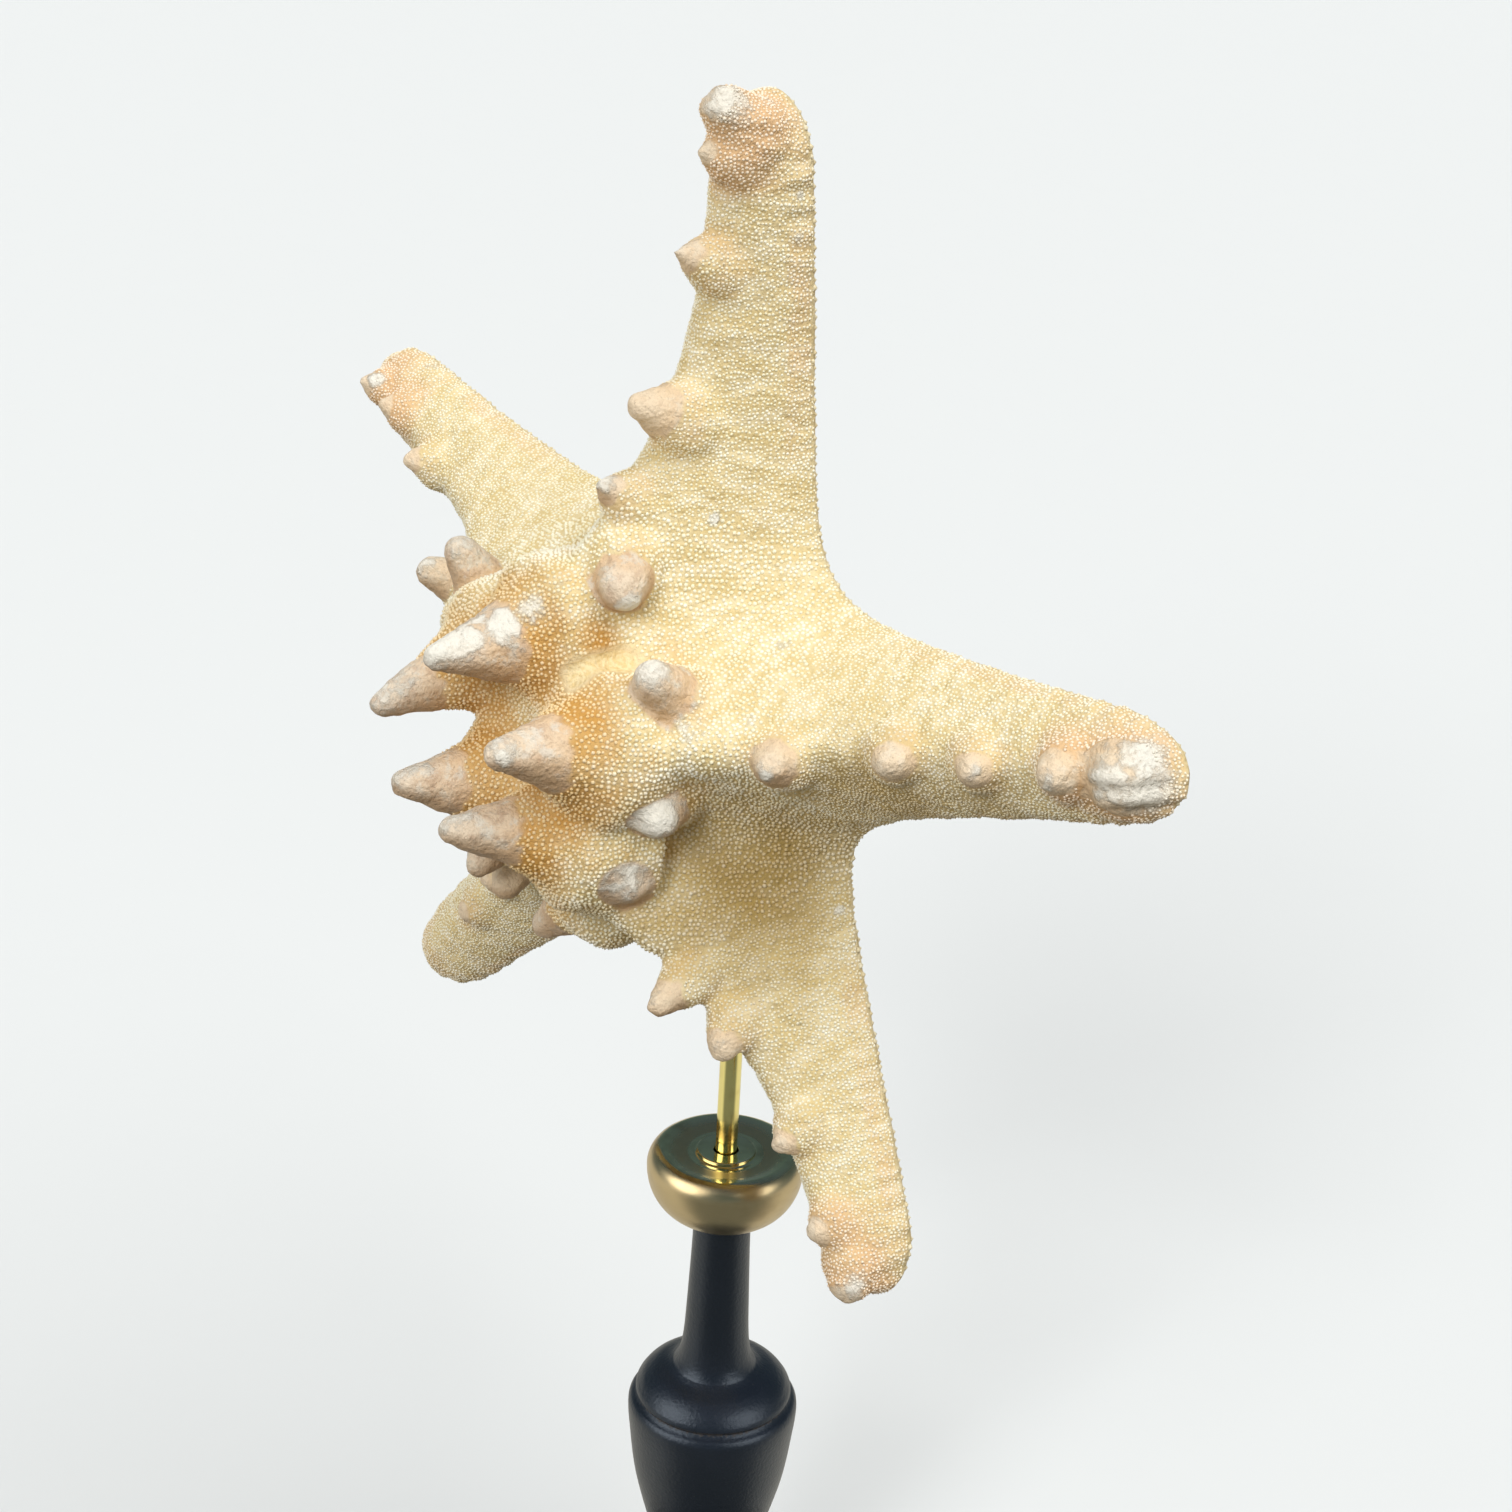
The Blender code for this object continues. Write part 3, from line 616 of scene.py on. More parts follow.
class Amount:
    """A number socket that adds its own Math nodes when it is used in a sum."""

    def __init__(self, graph, socket):
        self.graph = graph
        self.socket = socket

    def _sum(self, operation, first, second):
        return self.graph.amount("ShaderNodeMath", {"operation": operation}, {0: first, 1: second})

    def __add__(self, other):
        return self._sum("ADD", self, other)

    def __sub__(self, other):
        return self._sum("SUBTRACT", self, other)

    def __rsub__(self, other):
        return self._sum("SUBTRACT", other, self)

    def __mul__(self, other):
        return self._sum("MULTIPLY", self, other)

    __radd__ = __add__
    __rmul__ = __mul__

    def step(self, low, high):
        """0 below low, 1 above high, and smooth between."""
        return self.graph.amount(
            "ShaderNodeMapRange",
            {"interpolation_type": "SMOOTHSTEP"},
            {"Value": self, "From Min": low, "From Max": high},
        )


class Finish(Graph):
    """A material whose nodes are made one by one."""

    def __init__(self, name):
        self.material = bpy.data.materials.new(name)
        self.material.use_nodes = True
        super().__init__(self.material.node_tree)
        self.shader = self.tree.nodes["Principled BSDF"]
        self.place = self.node("ShaderNodeTexCoord").outputs["Object"]

    def set(self, name, value):
        self.feed(self.shader.inputs[name], value)

    def mark(self, name):
        """A mask that is kept on the mesh."""
        return self.amount("ShaderNodeAttribute", {"attribute_name": name}, {}, "Fac")

    def noise(self, scale, detail=2.0, rough=0.5, place=None):
        """Noise with a given number of lumps to the metre."""
        inputs = {"Vector": place or self.place, "Scale": scale, "Detail": detail}
        return self.amount("ShaderNodeTexNoise", {}, {**inputs, "Roughness": rough})

    def patches(self, scale, low, high, detail=2.0, rough=0.5):
        """Patches of noise with soft edges."""
        return self.noise(scale, detail, rough).step(low, high)

    def stretched(self, scale):
        return self.node("ShaderNodeMapping", {}, {"Vector": self.place, "Scale": scale}).outputs[0]

    def along_arm(self, along, across):
        """Places that run along and across each arm, for what follows the arms."""
        arm = self.mark("arm") * 7.0
        parts = {"X": self.mark("along") * along, "Y": self.mark("across") * across, "Z": arm}
        return self.node("ShaderNodeCombineXYZ", {}, parts).outputs[0]

    def bump(self, height, distance, strength=1.0):
        inputs = {"Height": height, "Distance": distance, "Strength": strength}
        self.set("Normal", self.node("ShaderNodeBump", {}, inputs).outputs[0])


# Materials
def skin_shares(finish):
    """Where the skin's pale ripples lie, how golden and peach it is, and where the painted shadow
    lies.
    """
    patches = finish.noise(110, 3.0) - 0.5
    ripples = finish.noise(1.0, 4.0, 0.65, finish.along_arm(0.3, 0.2)).step(0.38, 0.66)
    # golden skin, partly painted shade in the hollows round the horns
    gold = (finish.mark("gold") + patches * 0.7).step(0.2, 0.85)
    peach = (finish.mark("peach") + patches * 0.7).step(0.2, 0.85)
    # painted shadow, with soft, noisy edges
    stain = (finish.mark("stain") + patches * 0.5).step(0.1, 0.9)
    return ripples, (gold, peach, stain)


def tinted_skin(finish, shares, low, high, tints):
    """Cream between two tones, with its golden and peach places and the painted shadow over it."""
    ripples, places = shares
    return finish.layers(finish.mix(ripples, low, high), *zip(places, tints))


def chalk_share(finish):
    """Ragged flakes of chalk in a thin veil, with small flecks here and there."""
    flecks = finish.noise(85, 2.0).step(0.6, 0.74) * 0.4
    bias = finish.mark("chalk") + flecks
    ragged = (finish.noise(420, 6.0, 0.66) - 0.5) * 1.3
    veil = (bias + (finish.noise(150, 3.0) - 0.5) * 0.8).step(0.3, 1.0) * 0.45
    return (bias + ragged).step(0.5, 0.8) * 0.62 + veil * 0.7


def skin_finish(settings):
    """Skin between the grains, bare horns with worn chalky tips, and the flat side."""
    finish = Finish("star_skin")
    bare, chalk, shares = finish.mark("bare"), chalk_share(finish), skin_shares(finish)
    patches = finish.noise(160, 4.0, 0.6)
    toward_tip = (finish.mark("horn") + (patches - 0.5) * 0.9).step(0.15, 0.85)
    horn = finish.layers(
        finish.mix(toward_tip, (*settings.knob_colour, 1.0), (*settings.horn_colour, 1.0)),
        (finish.patches(330, 0.48, 0.66, 5.0, 0.7) * 0.6, "c2a488"),
        (finish.patches(240, 0.5, 0.62, 6.0, 0.7) * 0.6, "e2ddcf"),
        (finish.mark("knob") * 0.5, "ecd6b4"),
        (finish.mark("shade") * 0.6, "b08c64"),
        (finish.patches(1500, 0.6, 0.72) * 0.35, "9c8468"),
    )
    under = finish.mix(finish.patches(260, 0.35, 0.65, 3.0), "cdb88a", "e2d2ab")
    under = finish.mix(finish.mark("furrow").step(0.35, 0.8), under, "8a6a3c")
    mixed = finish.layers(
        # the last tint in each set is the painted shadow's brown; the golden tint is partly painted
        # shade
        tinted_skin(finish, shares, "dfc993", "ecdcb2", ("c8964e", "e0ba8c", "ae9254")),
        (finish.mark("under"), under),
        (bare.step(0.2, 0.8), horn),
        (finish.mark("plate"), finish.mix(finish.patches(1100, 0.35, 0.65), "e2ca94", "eedcb0")),
        (finish.mark("plate_rim") * 0.5, "f0e2bd"),
        (chalk, (*settings.chalk_colour, 1.0)),
    )
    finish.set("Base Color", mixed)
    finish.set("Roughness", 0.85 - bare * 0.25 + chalk * 0.25)
    finish.set("Specular IOR Level", 0.3)
    pores = finish.noise(1300, 3.0) * 0.6 + finish.noise(520, 4.0) * 0.7 + patches * 0.6
    finish.bump(pores + chalk * 0.6, 0.0009, 0.9)
    return finish.material


def grain_finish(settings):
    """The grains: pale crowns on darker sides, each with its own tone."""
    finish = Finish("star_grains")
    tone, shares = finish.mark("tone"), skin_shares(finish)
    crown = (finish.mark("crown") + (tone - 0.5) * 0.3).step(-0.25, 0.4)
    skin = finish.layers(
        # the last tint in each set is the painted shadow's brown; the golden tint is partly painted
        # shade
        tinted_skin(finish, shares, "ecdcb2", "f4eccf", ("d09c54", "eecca4", "bc9e64")),
        (crown, tinted_skin(finish, shares, "f4edce", "fcf9e8", ("edcd92", "f9e7ce", "d0b884"))),
        (tone.step(0.8, 1.0) * 0.2, "fffaf0"),
        ((1 - tone).step(0.8, 1.0) * 0.2, "dcb877"),
        (finish.mark("under"), finish.mix(tone, "dccba0", "eee3c2")),
        (chalk_share(finish) * 0.85, (*settings.chalk_colour, 1.0)),
    )
    finish.set("Base Color", skin)
    finish.set("Roughness", 0.8 - tone * 0.12)
    finish.set("Specular IOR Level", 0.3)
    finish.bump(finish.noise(2500), 0.0002, 0.5)
    return finish.material


def spine_finish():
    """Small blunt spines between tan and cream."""
    finish = Finish("furrow_spines")
    finish.set("Base Color", finish.mix(finish.mark("tone"), "cfae72", "efe2bf"))
    finish.set("Roughness", 0.78 - finish.noise(800) * 0.1)
    return finish.material


def brass_finish(name, light, dark, rough, stretch):
    """Brass with rubbed streaks, small pits and a little tarnish."""
    finish = Finish(name)
    streaks = finish.noise(600, 2.0, 0.6, finish.stretched(stretch))
    smears = finish.noise(130, 3.0, 0.6)
    tarnish = (smears + (streaks - 0.5) * 0.3).step(0.45, 0.8)
    satin = finish.mark("satin")
    # the satin mark browns the brass on the collar's bowl: painted shade that darkens the bowl's
    # reflections; its added roughness is the real satin finish
    brass = finish.layers(finish.mix(tarnish, light, dark), (satin * 0.8, "bea882"))
    finish.set("Base Color", brass)
    finish.set("Metallic", 1.0)
    finish.set("Roughness", rough + tarnish * 0.08 + (streaks - 0.5) * 0.05 + satin * 0.2)
    finish.bump(streaks * 0.4 + finish.noise(1600) * 0.3, 0.0001, 0.2)
    return finish.material


def stand_finish(settings):
    """Satin black over turned wood: fine turning lines, small specks, and wear in the groove."""
    finish = Finish("stand_black")
    lines = finish.noise(900, 2.0, 0.5, finish.stretched((0.12, 0.12, 1.6)))
    specks = finish.noise(1400, 3.0)
    smears = finish.noise(60, 3.0)
    worn = finish.mark("wear") + (specks - 0.5) * 1.4
    black = finish.layers(
        (*settings.stand_colour, 1.0),
        (smears.step(0.35, 0.7), "191d25"),
        (worn.step(0.75, 0.95), "35312f"),
        (specks.step(0.72, 0.78) * 0.4, "5a5a58"),
    )
    finish.set("Base Color", black)
    finish.set("Roughness", 0.3 + smears * 0.12 + worn.step(0.6, 1.0) * 0.25)
    finish.set("Specular IOR Level", 0.6)
    finish.set("Specular Tint", (0.72, 0.84, 1.0, 1.0))
    finish.bump(lines * 0.5 + specks * 0.35 + worn * 0.8, 0.0002, 0.3)
    return finish.material


# Making helpers
def in_scene(name, data):
    """A new object of some data, linked to the scene."""
    made = bpy.data.objects.new(name, data)
    bpy.context.scene.collection.objects.link(made)
    return made


def mesh_data(name, mesh):
    """The finished form of a mesh in the making."""
    data = bpy.data.meshes.new(name)
    mesh.to_mesh(data)
    mesh.free()
    return data


def piece_from_mesh(name, mesh, material):
    mesh.name = name
    mesh.materials.clear()
    mesh.materials.append(material)
    return in_scene(name, mesh)


def evaluated_mesh(source):
    """A plain mesh of an object with its modifiers, which go with the object."""
    graph = bpy.context.evaluated_depsgraph_get()
    mesh = bpy.data.meshes.new_from_object(source.evaluated_get(graph))
    bpy.data.objects.remove(source)
    return mesh


class Form:
    """A small closed dome, one unit across its middle, that is set on the skin many times."""

    def __init__(self, name, sides, rings):
        mesh = bmesh.new()
        loops = []
        angles = [2 * math.pi * k / sides for k in range(sides)]
        for radius, height, _ in rings:
            places = [(radius * math.cos(a), radius * math.sin(a), height) for a in angles]
            loops.append([mesh.verts.new(place) for place in places])
        top = mesh.verts.new((0, 0, 1.0))
        mesh.faces.new(reversed(loops[0]))
        for lower, upper in zip(loops[:-1], loops[1:]):
            for k in range(sides):
                after = (k + 1) % sides
                mesh.faces.new((lower[k], lower[after], upper[after], upper[k]))
        for k in range(sides):
            mesh.faces.new((loops[-1][k], loops[-1][(k + 1) % sides], top))
        data = mesh_data(name, mesh)
        store(data, "crown", [crown for _, _, crown in rings for _ in range(sides)] + [1.0])
        self.points = read(data)[:, :2]
        self.loops = len(data.loops)
        self.object = in_scene(name, data)

    def patches(self, mesh):
        """A map for baking: each copy has a small square of its own, laid out from above."""
        count = len(mesh.loops) // self.loops
        side = math.ceil(math.sqrt(count))
        layer = mesh.uv_layers.new(name="OFBake")
        corner = np.empty(len(mesh.loops), dtype=np.int32)
        mesh.loops.foreach_get("vertex_index", corner)
        local = self.points[corner % len(self.points)]
        copy = np.arange(len(mesh.loops)) // self.loops
        middle = np.stack([copy % side + 0.5, copy // side + 0.5], axis=1)
        layer.data.foreach_set("uv", ((middle + local * 0.38) / side).astype(np.float32).ravel())


def scatter_tree():
    """Sets a form on a skin many times, a set distance apart, on the part that a mask picks out."""
    tree = bpy.data.node_groups.new("Scatter", "GeometryNodeTree")
    sockets = {
        "Geometry": "Geometry", "Spacing": "Float", "Size": "Float", "Height": "Float",
        "Part": "Float", "Seed": "Int", "Form": "Object", "Material": "Material",
    }
    for name, kind in sockets.items():
        tree.interface.new_socket(name, in_out="INPUT", socket_type=f"NodeSocket{kind}")
    tree.interface.new_socket("Geometry", in_out="OUTPUT", socket_type="NodeSocketGeometry")
    graph = Graph(tree)
    given = graph.node("NodeGroupInput").outputs

    def random(low, high, seed):
        settings = {"data_type": "FLOAT"}
        return graph.amount("FunctionNodeRandomValue", settings, {2: low, 3: high, "Seed": seed}, 1)

    def named(name):
        settings = {"data_type": "FLOAT"}
        return graph.amount("GeometryNodeInputNamedAttribute", settings, {"Name": name})

    points = graph.node(
        "GeometryNodeDistributePointsOnFaces",
        {"distribute_method": "POISSON"},
        {
            "Mesh": given["Geometry"], "Distance Min": given["Spacing"],
            "Density Max": MOST_GRAINS, "Seed": given["Seed"],
        },
    ).outputs
    part = graph.node(
        "FunctionNodeCompare",
        {"data_type": "FLOAT", "operation": "NOT_EQUAL"},
        {"A": named("part"), "B": given["Part"], "Epsilon": 0.4},
    )
    kept = graph.node(
        "GeometryNodeDeleteGeometry",
        {"domain": "POINT"},
        {"Geometry": points["Points"], "Selection": part.outputs[0]},
    )
    toned = graph.node(
        "GeometryNodeStoreNamedAttribute",
        {"data_type": "FLOAT", "domain": "POINT"},
        {"Geometry": kept.outputs[0], "Name": "tone", "Value": random(0.0, 1.0, 11)},
    )
    spin = graph.node("ShaderNodeCombineXYZ", {}, {"Z": random(0.0, 6.283, 12)})
    turned = graph.node(
        "FunctionNodeRotateRotation",
        {"rotation_space": "LOCAL"},
        {"Rotation": points["Rotation"], "Rotate By": spin.outputs[0]},
    )
    swell = random(0.78, 1.16, 13) * named("swell")
    wide = swell * Amount(graph, given["Size"])
    tall = swell * Amount(graph, given["Height"])
    scale = graph.node("ShaderNodeCombineXYZ", {}, {"X": wide, "Y": wide, "Z": tall})
    form = graph.node("GeometryNodeObjectInfo", {}, {"Object": given["Form"]})
    parts = {
        "Points": toned.outputs[0],
        "Instance": form.outputs["Geometry"],
        "Rotation": turned.outputs[0],
        "Scale": scale.outputs[0],
    }
    placed = graph.node("GeometryNodeInstanceOnPoints", {}, parts)
    soft = graph.node("GeometryNodeSetShadeSmooth", {}, {"Geometry": placed.outputs[0]})
    real = graph.node("GeometryNodeRealizeInstances", {}, {"Geometry": soft.outputs[0]})
    inputs = {"Geometry": real.outputs[0], "Material": given["Material"]}
    dressed = graph.node("GeometryNodeSetMaterial", {}, inputs)
    graph.node("NodeGroupOutput", {}, {"Geometry": dressed.outputs[0]})
    return tree


def scattered(name, skin, tree, form, material, values):
    """A piece of many copies of a form on a skin, which is used up."""
    carrier = in_scene(name + "_carrier", skin)
    modifier = carrier.modifiers.new("Scatter", "NODES")
    modifier.node_group = tree
    inputs = {**values, "Form": form.object, "Material": material}
    for item in tree.interface.items_tree:
        if item.in_out == "INPUT" and item.name in inputs:
            modifier[item.identifier] = inputs[item.name]
    mesh = evaluated_mesh(carrier)
    if not mesh.polygons:
        raise RuntimeError(f"nothing was set on the skin for {name}")
    form.patches(mesh)
    made = piece_from_mesh(name, mesh, material)
    finish_piece(made, None)


def turned_piece(name, profile, material, steps=128):
    """A closed piece spun about the upright axis from pairs of radius and height."""
    angles = np.linspace(0, 2 * math.pi, steps, endpoint=False)
    mesh = bmesh.new()
    rings = []
    for radius, height in profile:
        if radius < 1e-6:
            rings.append([mesh.verts.new((0, 0, height * MM))])
            continue
        ring = zip(radius * MM * np.cos(angles), radius * MM * np.sin(angles))
        rings.append([mesh.verts.new((x, y, height * MM)) for x, y in ring])
    if len(rings[0]) > 1:
        rings.append(rings[0])
    for upper, lower in zip(rings, rings[1:]):
        for k in range(steps):
            after = (k + 1) % steps
            corners = [upper[k % len(upper)], lower[k % len(lower)], lower[after % len(lower)]]
            corners.append(upper[after % len(upper)])
            face = list(dict.fromkeys(corners))
            if len(face) > 2:
                mesh.faces.new(face)
    bmesh.ops.recalc_face_normals(mesh, faces=mesh.faces)
    data = mesh_data(name, mesh)
    data.shade_smooth()
    data.set_sharp_from_angle(angle=math.radians(32))
    return piece_from_mesh(name, data, material)


def eased(points, cuts=6):
    """A smooth curve through profile points."""
    ends = [points[0], *points, points[-1]]
    made = []
    for k in range(1, len(points)):
        a, b, c, d = (np.array(ends[k + j], dtype=float) for j in (-1, 0, 1, 2))
        for share in np.linspace(0, 1, cuts, endpoint=False):
            bend = (2 * a - 5 * b + 4 * c - d) * share**2 + (3 * b - a - 3 * c + d) * share**3
            made.append(tuple(0.5 * (2 * b + (c - a) * share + bend)))
    return [*made, points[-1]]


def finish_piece(made, node):
    """Puts a piece in the place of its solid, if it has one and on the body."""
    if node:
        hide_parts(node)
    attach(made, "root")


# Settings
class StarSettings(bpy.types.PropertyGroup):
    """The star's fineness, its grains' spacing and its colours"""

    voxel: bpy.props.FloatProperty(
        name="Skin fineness", description="Size of the smallest form in the star's skin",
        default=0.00092, min=0.0005, unit="LENGTH",
    )
    grain_spacing: bpy.props.FloatProperty(
        name="Grain spacing", description="Least distance between two grains on the arms",
        default=0.00061, min=0.0005, unit="LENGTH",
    )
    disc_grain_spacing: bpy.props.FloatProperty(
        name="Disc grain spacing", description="Least distance between two grains round the horns",
        default=0.00076, min=0.0005, unit="LENGTH",
    )
    under_grain_spacing: bpy.props.FloatProperty(
        name="Flat side grain spacing",
        description="Least distance between two grains on the flat side",
        default=0.0015, min=0.0005, unit="LENGTH",
    )
    horn_colour: bpy.props.FloatVectorProperty(
        name="Horns", description="Colour of the bare horns", subtype="COLOR",
        default=colour("e6d3b9")[:3], min=0, max=1,
    )
    knob_colour: bpy.props.FloatVectorProperty(
        name="Horn roots", description="Colour at the foot of a bare horn", subtype="COLOR",
        default=colour("dfbe96")[:3], min=0, max=1,
    )
    chalk_colour: bpy.props.FloatVectorProperty(
        name="Chalk", description="Colour of the worn tips", subtype="COLOR",
        default=colour("ebe8dc")[:3], min=0, max=1,
    )


class StandSettings(bpy.types.PropertyGroup):
    """The stand's fineness and colour"""

    steps: bpy.props.IntProperty(
        name="Turning steps", description="Number of steps round a turned piece",
        default=128, min=24,
    )
    stand_colour: bpy.props.FloatVectorProperty(
        name="Stand", description="Colour of the stand's satin black", subtype="COLOR",
        default=colour("12161d")[:3], min=0, max=1,
    )


class StageSettings(bpy.types.PropertyGroup):
    """The floor's colour and the lights' strengths"""

    floor_colour: bpy.props.FloatVectorProperty(
        name="Floor", description="Colour of the plain floor", subtype="COLOR",
        default=(0.74, 0.76, 0.755), min=0, max=1,
    )
    key_strength: bpy.props.FloatProperty(
        name="Key light", description="Strength of the soft light from above", default=1.9, min=0
    )
    front_strength: bpy.props.FloatProperty(
        name="Front light", description="Strength of the soft light from the camera's left",
        default=1.6, min=0,
    )


# Operators
class SEASTAR_OT_body(bpy.types.Operator):
    """Makes the star's skin with its horns, furrows and mouth"""

    bl_idname = "seastar.body"
    bl_label = "Star skin"

    def execute(self, context):
        settings = context.scene.sea_star
        mesh = bmesh.new()
        add_body(mesh)
        for horn in HORNS:
            add_horn(mesh, *horn[:7])
        bmesh.ops.scale(mesh, vec=(MM, MM, MM), verts=mesh.verts)
        rough = in_scene("skin_in_the_rough", mesh_data("skin", mesh))
        fuse = rough.modifiers.new("Fuse", "REMESH")
        fuse.mode = "VOXEL"
        fuse.voxel_size = settings.voxel
        soften = rough.modifiers.new("Soften", "SMOOTH")
        soften.factor = 0.5
        soften.iterations = 10
        skin = evaluated_mesh(rough)
        points, normals = read(skin) / MM, read(skin, normals=True)
        marks = mark_skin(points, normals)
        points += normals * relief(points, marks)[:, None]
        for name, values in marks.items():
            store(skin, name, values)
        matrix = np.array(star_to_world())
        world = points @ matrix[:3, :3].T + matrix[:3, 3]
        low, high = (np.array(corner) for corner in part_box("starfish"))
        high += np.array((-BOX_INSET, BOX_INSET, -BOX_INSET))  # the flat side may stand proud
        world = np.clip(world, low + BOX_INSET, high)
        skin.vertices.foreach_set("co", world.astype(np.float32).ravel())
        skin.update()
        skin.shade_smooth()
        made = piece_from_mesh("star_skin", skin, skin_finish(settings))
        finish_piece(made, "starfish")
        return {"FINISHED"}


class SEASTAR_OT_grains(bpy.types.Operator):
    """Covers the star's skin with grains, coarse round the horns and fine on the arms"""

    bl_idname = "seastar.grains"
    bl_label = "Grains"

    def execute(self, context):
        settings = context.scene.sea_star
        skin = bpy.data.objects["star_skin"].data
        marks = {}
        for name in ("bare", "coarse", "under", "furrow", "arm", "plate_rim"):
            marks[name] = np.empty(len(skin.vertices), dtype=np.float32)
            skin.attributes[name].data.foreach_get("value", marks[name])
        form = Form("grain_form", 6, ((1.0, -0.3, 0.0),))
        tree, material = scatter_tree(), grain_finish(settings)
        open_skin = (marks["bare"] < 0.5) & (marks["plate_rim"] < 0.75)
        under = marks["under"] > 0.5
        coarse = marks["coarse"] > 0.5
        upper = open_skin & ~under
        patches = {"disc_grains": (upper & coarse, settings.disc_grain_spacing, DISC_GRAIN, 1)}
        for number, arm in enumerate(ARM_NAMES):
            where = upper & ~coarse & (np.round(marks["arm"]) == number)
            patches[f"{arm}_arm_grains"] = (where, settings.grain_spacing, ARM_GRAIN, 2)
        flat = open_skin & under & (marks["furrow"] < 0.4)
        patches["flat_side_grains"] = (flat, settings.under_grain_spacing, FLAT_GRAIN, 3)
        for number, (name, (where, spacing, size, seed)) in enumerate(patches.items(), 1):
            copy = skin.copy()
            store(copy, "part", np.where(where, number, 0))
            store(copy, "swell", 1.0 - 0.4 * marks["bare"])
            values = {"Spacing": spacing, "Size": size[0], "Height": size[1]}
            values |= {"Part": number, "Seed": seed}
            scattered(name, copy, tree, form, material, values)
        bpy.data.objects.remove(form.object)
        return {"FINISHED"}


class SEASTAR_OT_spines(bpy.types.Operator):
    """Sets two rows of small blunt spines beside each furrow of the flat side"""

    bl_idname = "seastar.spines"
    bl_label = "Furrow spines"

    def execute(self, context):
        def raised(x, y):
            return lower_height(x, y) + 0.2

        mesh = bmesh.new()
        matrix = star_to_world()
        for arm, (_, length, *_) in ARMS.items():
            for along in np.arange(9.0, length - 6, SPINE_STEP):
                for edge in (-1, 1):
                    foot, out, side = on_arm(arm, along, edge * SPINE_ASIDE, raised)
                    corners = []
                    for a, b in ((-1, -1), (-1, 1), (1, 1), (1, -1)):
                        corner = foot + out * a * SPINE_FOOT + side * b * SPINE_FOOT
                        corners.append(mesh.verts.new(matrix @ corner))
                    mesh.faces.new(corners)
        data = mesh_data("spine_feet", mesh)
        store(data, "part", np.ones(len(data.vertices)))
        store(data, "swell", np.ones(len(data.vertices)))
        form = Form("spine_form", 6, ((0.75, -0.3, 0.0), (1.0, 0.2, 0.3), (0.8, 0.7, 0.8)))
        size, height = SPINE
        values = {"Spacing": SPINE_SPACING, "Size": size, "Height": height, "Part": 1, "Seed": 5}
        scattered("furrow_spines", data, scatter_tree(), form, spine_finish(), values)
        bpy.data.objects.remove(form.object)
        return {"FINISHED"}


class SEASTAR_OT_rod(bpy.types.Operator):
    """Makes the thin brass rod"""

    bl_idname = "seastar.rod"
    bl_label = "Rod"

    def execute(self, context):
        (_, _, bottom), (_, _, top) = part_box("rod")
        bottom, top, radius, chamfer = bottom / MM, top / MM, ROD_RADIUS, ROD_CHAMFER
        profile = [(0, top), (radius - chamfer, top), (radius, top - chamfer)]
        profile += [(radius, height) for height in np.linspace(top - 1, bottom + 1, 30)]
        profile += [(radius, bottom + chamfer), (radius - chamfer, bottom), (0, bottom)]
        brass = brass_finish("rod_brass", "f2e498", "d8c47c", 0.14, (1.0, 1.0, 0.06))
        made = turned_piece("brass_rod", profile, brass, 48)
        finish_piece(made, "rod")
        return {"FINISHED"}


class SEASTAR_OT_collar(bpy.types.Operator):
    """Makes the dished brass collar with its raised boss"""

    bl_idname = "seastar.collar"
    bl_label = "Collar"

    def execute(self, context):
        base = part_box("collar")[0][2] / MM
        profile = [(BORE, 0.0), (BORE, 14.9), (BORE + 0.15, 15.05), (5.5, 15.1), (5.85, 15.2)]
        profile += [(6.05, 15.1), (6.15, 14.8), (6.15, 14.5), (6.35, 14.35)]
        dish = [(6.7, 14.3), (8.5, 14.4), (10.5, 14.65), (12.0, 15.0), (12.9, DISH_TOP)]
        profile += eased(dish, 5)
        for turn in np.radians(np.linspace(90, 0, 20))[1:]:
            profile.append((12.9 + 3.3 * math.cos(turn), 11.2 + 4.0 * math.sin(turn)))
        for turn in np.radians(np.linspace(0, 90, 22))[1:]:
            profile.append((6.5 + 9.7 * math.cos(turn), 11.2 * (1 - math.sin(turn))))
        lifted = [(radius, base + height) for radius, height in profile]
        brass = brass_finish("collar_brass", "dfd3a6", "bbac84", 0.12, (0.5, 0.5, 2.0))
        made = turned_piece("brass_collar", lifted, brass, context.scene.sea_stand.steps)
        points = read(made.data) / MM
        below_rim = base + DISH_TOP - points[:, 2]
        outside = np.hypot(points[:, 0], points[:, 1]) > 8
        # satin on the bowl below the rim: real satin roughness, and browner brass as painted shade
        # in the bowl's reflections
        store(made.data, "satin", smooth_step(below_rim, 0.02, 0.7) * outside)
        finish_piece(made, "collar")
        return {"FINISHED"}


